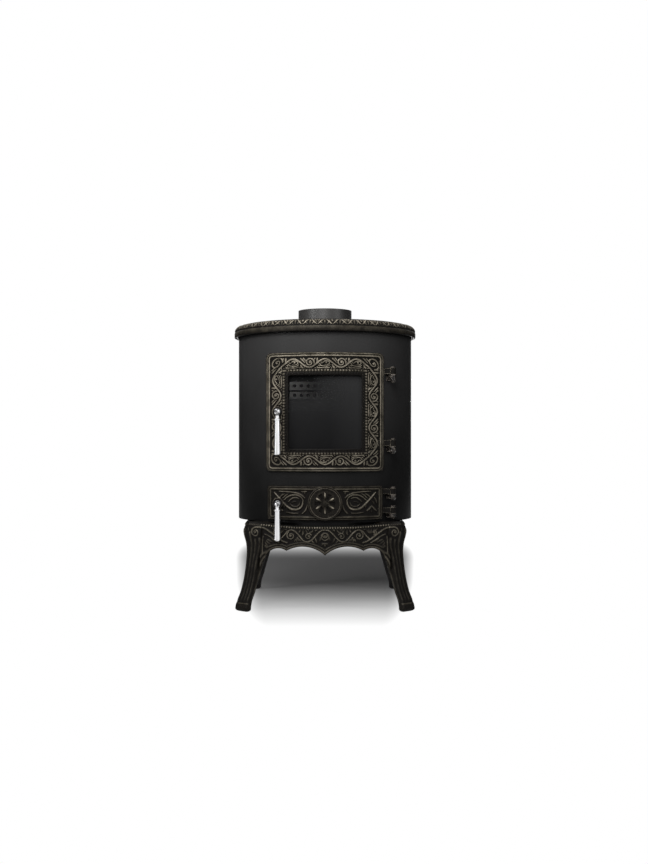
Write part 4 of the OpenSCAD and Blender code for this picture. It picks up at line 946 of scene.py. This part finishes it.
rail_carving = apron_carving(rail_half, rail_edge, rail_top, [
    ([(0, 189), (6, 188), (12, 182), (17, 175), (25, 171.5), (34, 174), (42, 181), (50, 188), (58, 190), (66, 188),
      (74, 181), (82, 173), (91, 168), (101, 168), (109, 174), (117, 182), (126, 189), (135, 189)], 1.9),
], [
    ((0, 166), 78, 8, 1.6), ((4, 160), 55, 9, 1.7), ((27, 190), -60, 8, 1.5), ((22, 191), -15, 8, 1.3),
    ((58, 168), 90, 11, 1.8), ((54, 168), 120, 10, 1.7), ((62, 168), 60, 10, 1.7), ((94, 190), -80, 8, 1.6),
    ((88, 190), -120, 8, 1.5), ((112, 162), 60, 10, 1.7), ((120, 162), 80, 12, 1.7), ((128, 160), 88, 14, 1.7),
    ((140, 158), 95, 16, 1.8), ((44, 190), 190, 7, 1.3), ((74, 190), -10, 7, 1.3),
], [
    ((0, 178.0), 7.6, 1, -90, 1.1), ((34, 184.0), 5.6, -1, 200, 1.2), ((100, 181.0), 6.8, -1, 200, 1.3),
    ((143, 180.0), 8.4, 1, 100, 1.35),
])
for name, facing in (("left", -1), ("right", 1)):
    def on_rail(y, z, out):
        return np.stack([facing * (rail_x - 0.1 + out), y, z], -1)

    def behind_rail(y, z):
        return np.stack([np.full_like(z, facing * (rail_x - rail_t)), y, z], -1)

    piece = apron(f"side_rail_{name}_casting", rail_half, rail_edge, rail_top, rail_carving, on_rail, behind_rail, 60)
    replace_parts(piece, f"side_rail_{name}")
    lug = lug_section(rail_x - rail_t - 18.0, rail_x - rail_t + 1)
    rows = [[(facing * out, lug_y, z) for out, z in lug] for lug_y in np.linspace(-60, 60, 13)]
    loft(f"side_rail_{name}_lug", rows, plain_casting, "stove")


# Studio: a plain floor that keeps the stove's shadow, a white surround, soft lamps in front and at the sides, one
# behind, and two dark flags that only mirror in the drum's and the grips' sides.
floor_mesh = bpy.data.meshes.new("studio_floor")
floor_mesh.from_pydata([(-9, -9, 0), (9, -9, 0), (9, 9, 0), (-9, 9, 0)], [], [(0, 1, 2, 3)])
floor = placed("studio_floor", floor_mesh)


def ray_kinds(wire):
    """Wires that are 1 on rays straight from the camera, on mirrored rays and on rays through glass."""
    path = wire.node("LightPath").socket.node
    return [Wire(wire.tree, path.outputs[f"Is {kind} Ray"]) for kind in ("Camera", "Glossy", "Transmission")]


floor_paint, place, shader = finish("studio_floor", Roughness=0.9, Specular_IOR_Level=0.0)
# painted shadow: the floor is dark grey, which shows only where its white glow is held back round the stove's shadow
shader.inputs["Base Color"].default_value = (0.15, 0.15, 0.15, 1)
straight, mirrored, through = ray_kinds(place)
across, along, _ = place.parts()
# white beside the stove, before it and far behind it; under it and close behind it the floor's dark grey shows,
# with the stove's real shadow on it: a painted shadow that deepens the real one
beside = ((across.maths("ABSOLUTE", across) - along * 0.08 - 0.15) * 15.4).clamp()
before, behind = ((0.45 - along) * 1.16).clamp(), ((along - 0.95) * 1.6).clamp()
share = (beside * beside + before * before + behind * behind).clamp()
shine = share * straight + mirrored + through
glow = place.node("Emission", inputs={"Color": (1, 1, 1, 1), "Strength": 1.0})
mixed = place.node("MixShader", inputs={0: shine.clamp(), 1: Wire(place.tree, shader.outputs[0]), 2: glow})
mixed.into(place.tree.nodes["Material Output"], "Surface")
floor_mesh.materials.append(floor_paint)

world = bpy.data.worlds.new("studio_white")
bpy.context.scene.world = world
world.use_nodes = True
straight, mirrored, through = ray_kinds(Wire(world.node_tree))
background = world.node_tree.nodes["Background"]
background.inputs["Color"].default_value = (1, 1, 1, 1)
(0.09 + (straight + mirrored + through).clamp() * 0.91).into(background, "Strength")

for name, where, size, power, mirrored in (("key_front", (-0.35, -2.6, 1.8), (1.0, 0.8), 60.0, True),
                                           ("over_front", (-0.35, -0.8, 1.3), (0.9, 0.3), 15.0, True),
                                           ("strip_left", (-1.9, -1.4, 1.0), (0.5, 1.0), 20.0, True),
                                           ("strip_right", (1.9, -1.4, 1.0), (0.4, 1.0), 12.0, True),
                                           ("low_fill", (0.36, -2.9, 0.43), (0.3, 0.2), 12.0, False),
                                           ("top_soft", (0.0, -1.5, 2.5), (1.3, 0.9), 8.0, True),
                                           ("back_soft", (0.15, 3.6, 0.5), (1.2, 0.8), 52.0, True)):
    lamp = bpy.data.lights.new(name, "AREA")
    lamp.shape, lamp.size, lamp.size_y, lamp.energy = "RECTANGLE", size[0], size[1], power
    stand = placed(name, lamp)
    stand.location, stand.visible_glossy = where, mirrored
    lamp.cycles.use_multiple_importance_sampling = False
    aim = np.array((0, 0, 0.4)) - np.array(where)
    yaw, pitch = atan2(aim[0], aim[1]), atan2(-aim[2], hypot(aim[0], aim[1]))
    stand.rotation_euler = (pi / 2 - pitch, 0, -yaw)

half, tall = 2.1, 1.15
for name, flag_x in (("flag_left", -1.35), ("flag_right", 1.35)):
    card = bpy.data.meshes.new(name)
    card.from_pydata([(-half, 0, 0.02), (half, 0, 0.02), (half, 0, tall), (-half, 0, tall)], [], [(0, 1, 2, 3)])
    flag = placed(name, card)
    flag.location, flag.rotation_euler = (flag_x, 1.8, 0), (0, 0, pi / 2)
    flag.visible_camera = flag.visible_diffuse = flag.visible_shadow = flag.visible_transmission = False
    black, place, shader = finish(name, Roughness=0.9, Specular_IOR_Level=0.0)
    shader.inputs["Base Color"].default_value = (0.02, 0.02, 0.02, 1)
    card.materials.append(black)


# Camera: level, at the height of the window's lower part and straight in front of the stove, almost three metres
# from its middle, as the photograph was taken.
camera = bpy.data.cameras.new("camera")
camera.lens, camera.sensor_width = 48.4, 36.0
frame_high = 864  # pixels, for the small shift of the photograph's frame
camera.shift_x, camera.shift_y = -1 / frame_high, 8.8 / frame_high
camera.clip_end = 30
viewer = placed("camera", camera)
viewer.location = (0, -2.847, 0.3886)
viewer.rotation_euler = (pi / 2, 0, 0)
bpy.context.scene.camera = viewer
bpy.context.scene.view_settings.view_transform = "Standard"
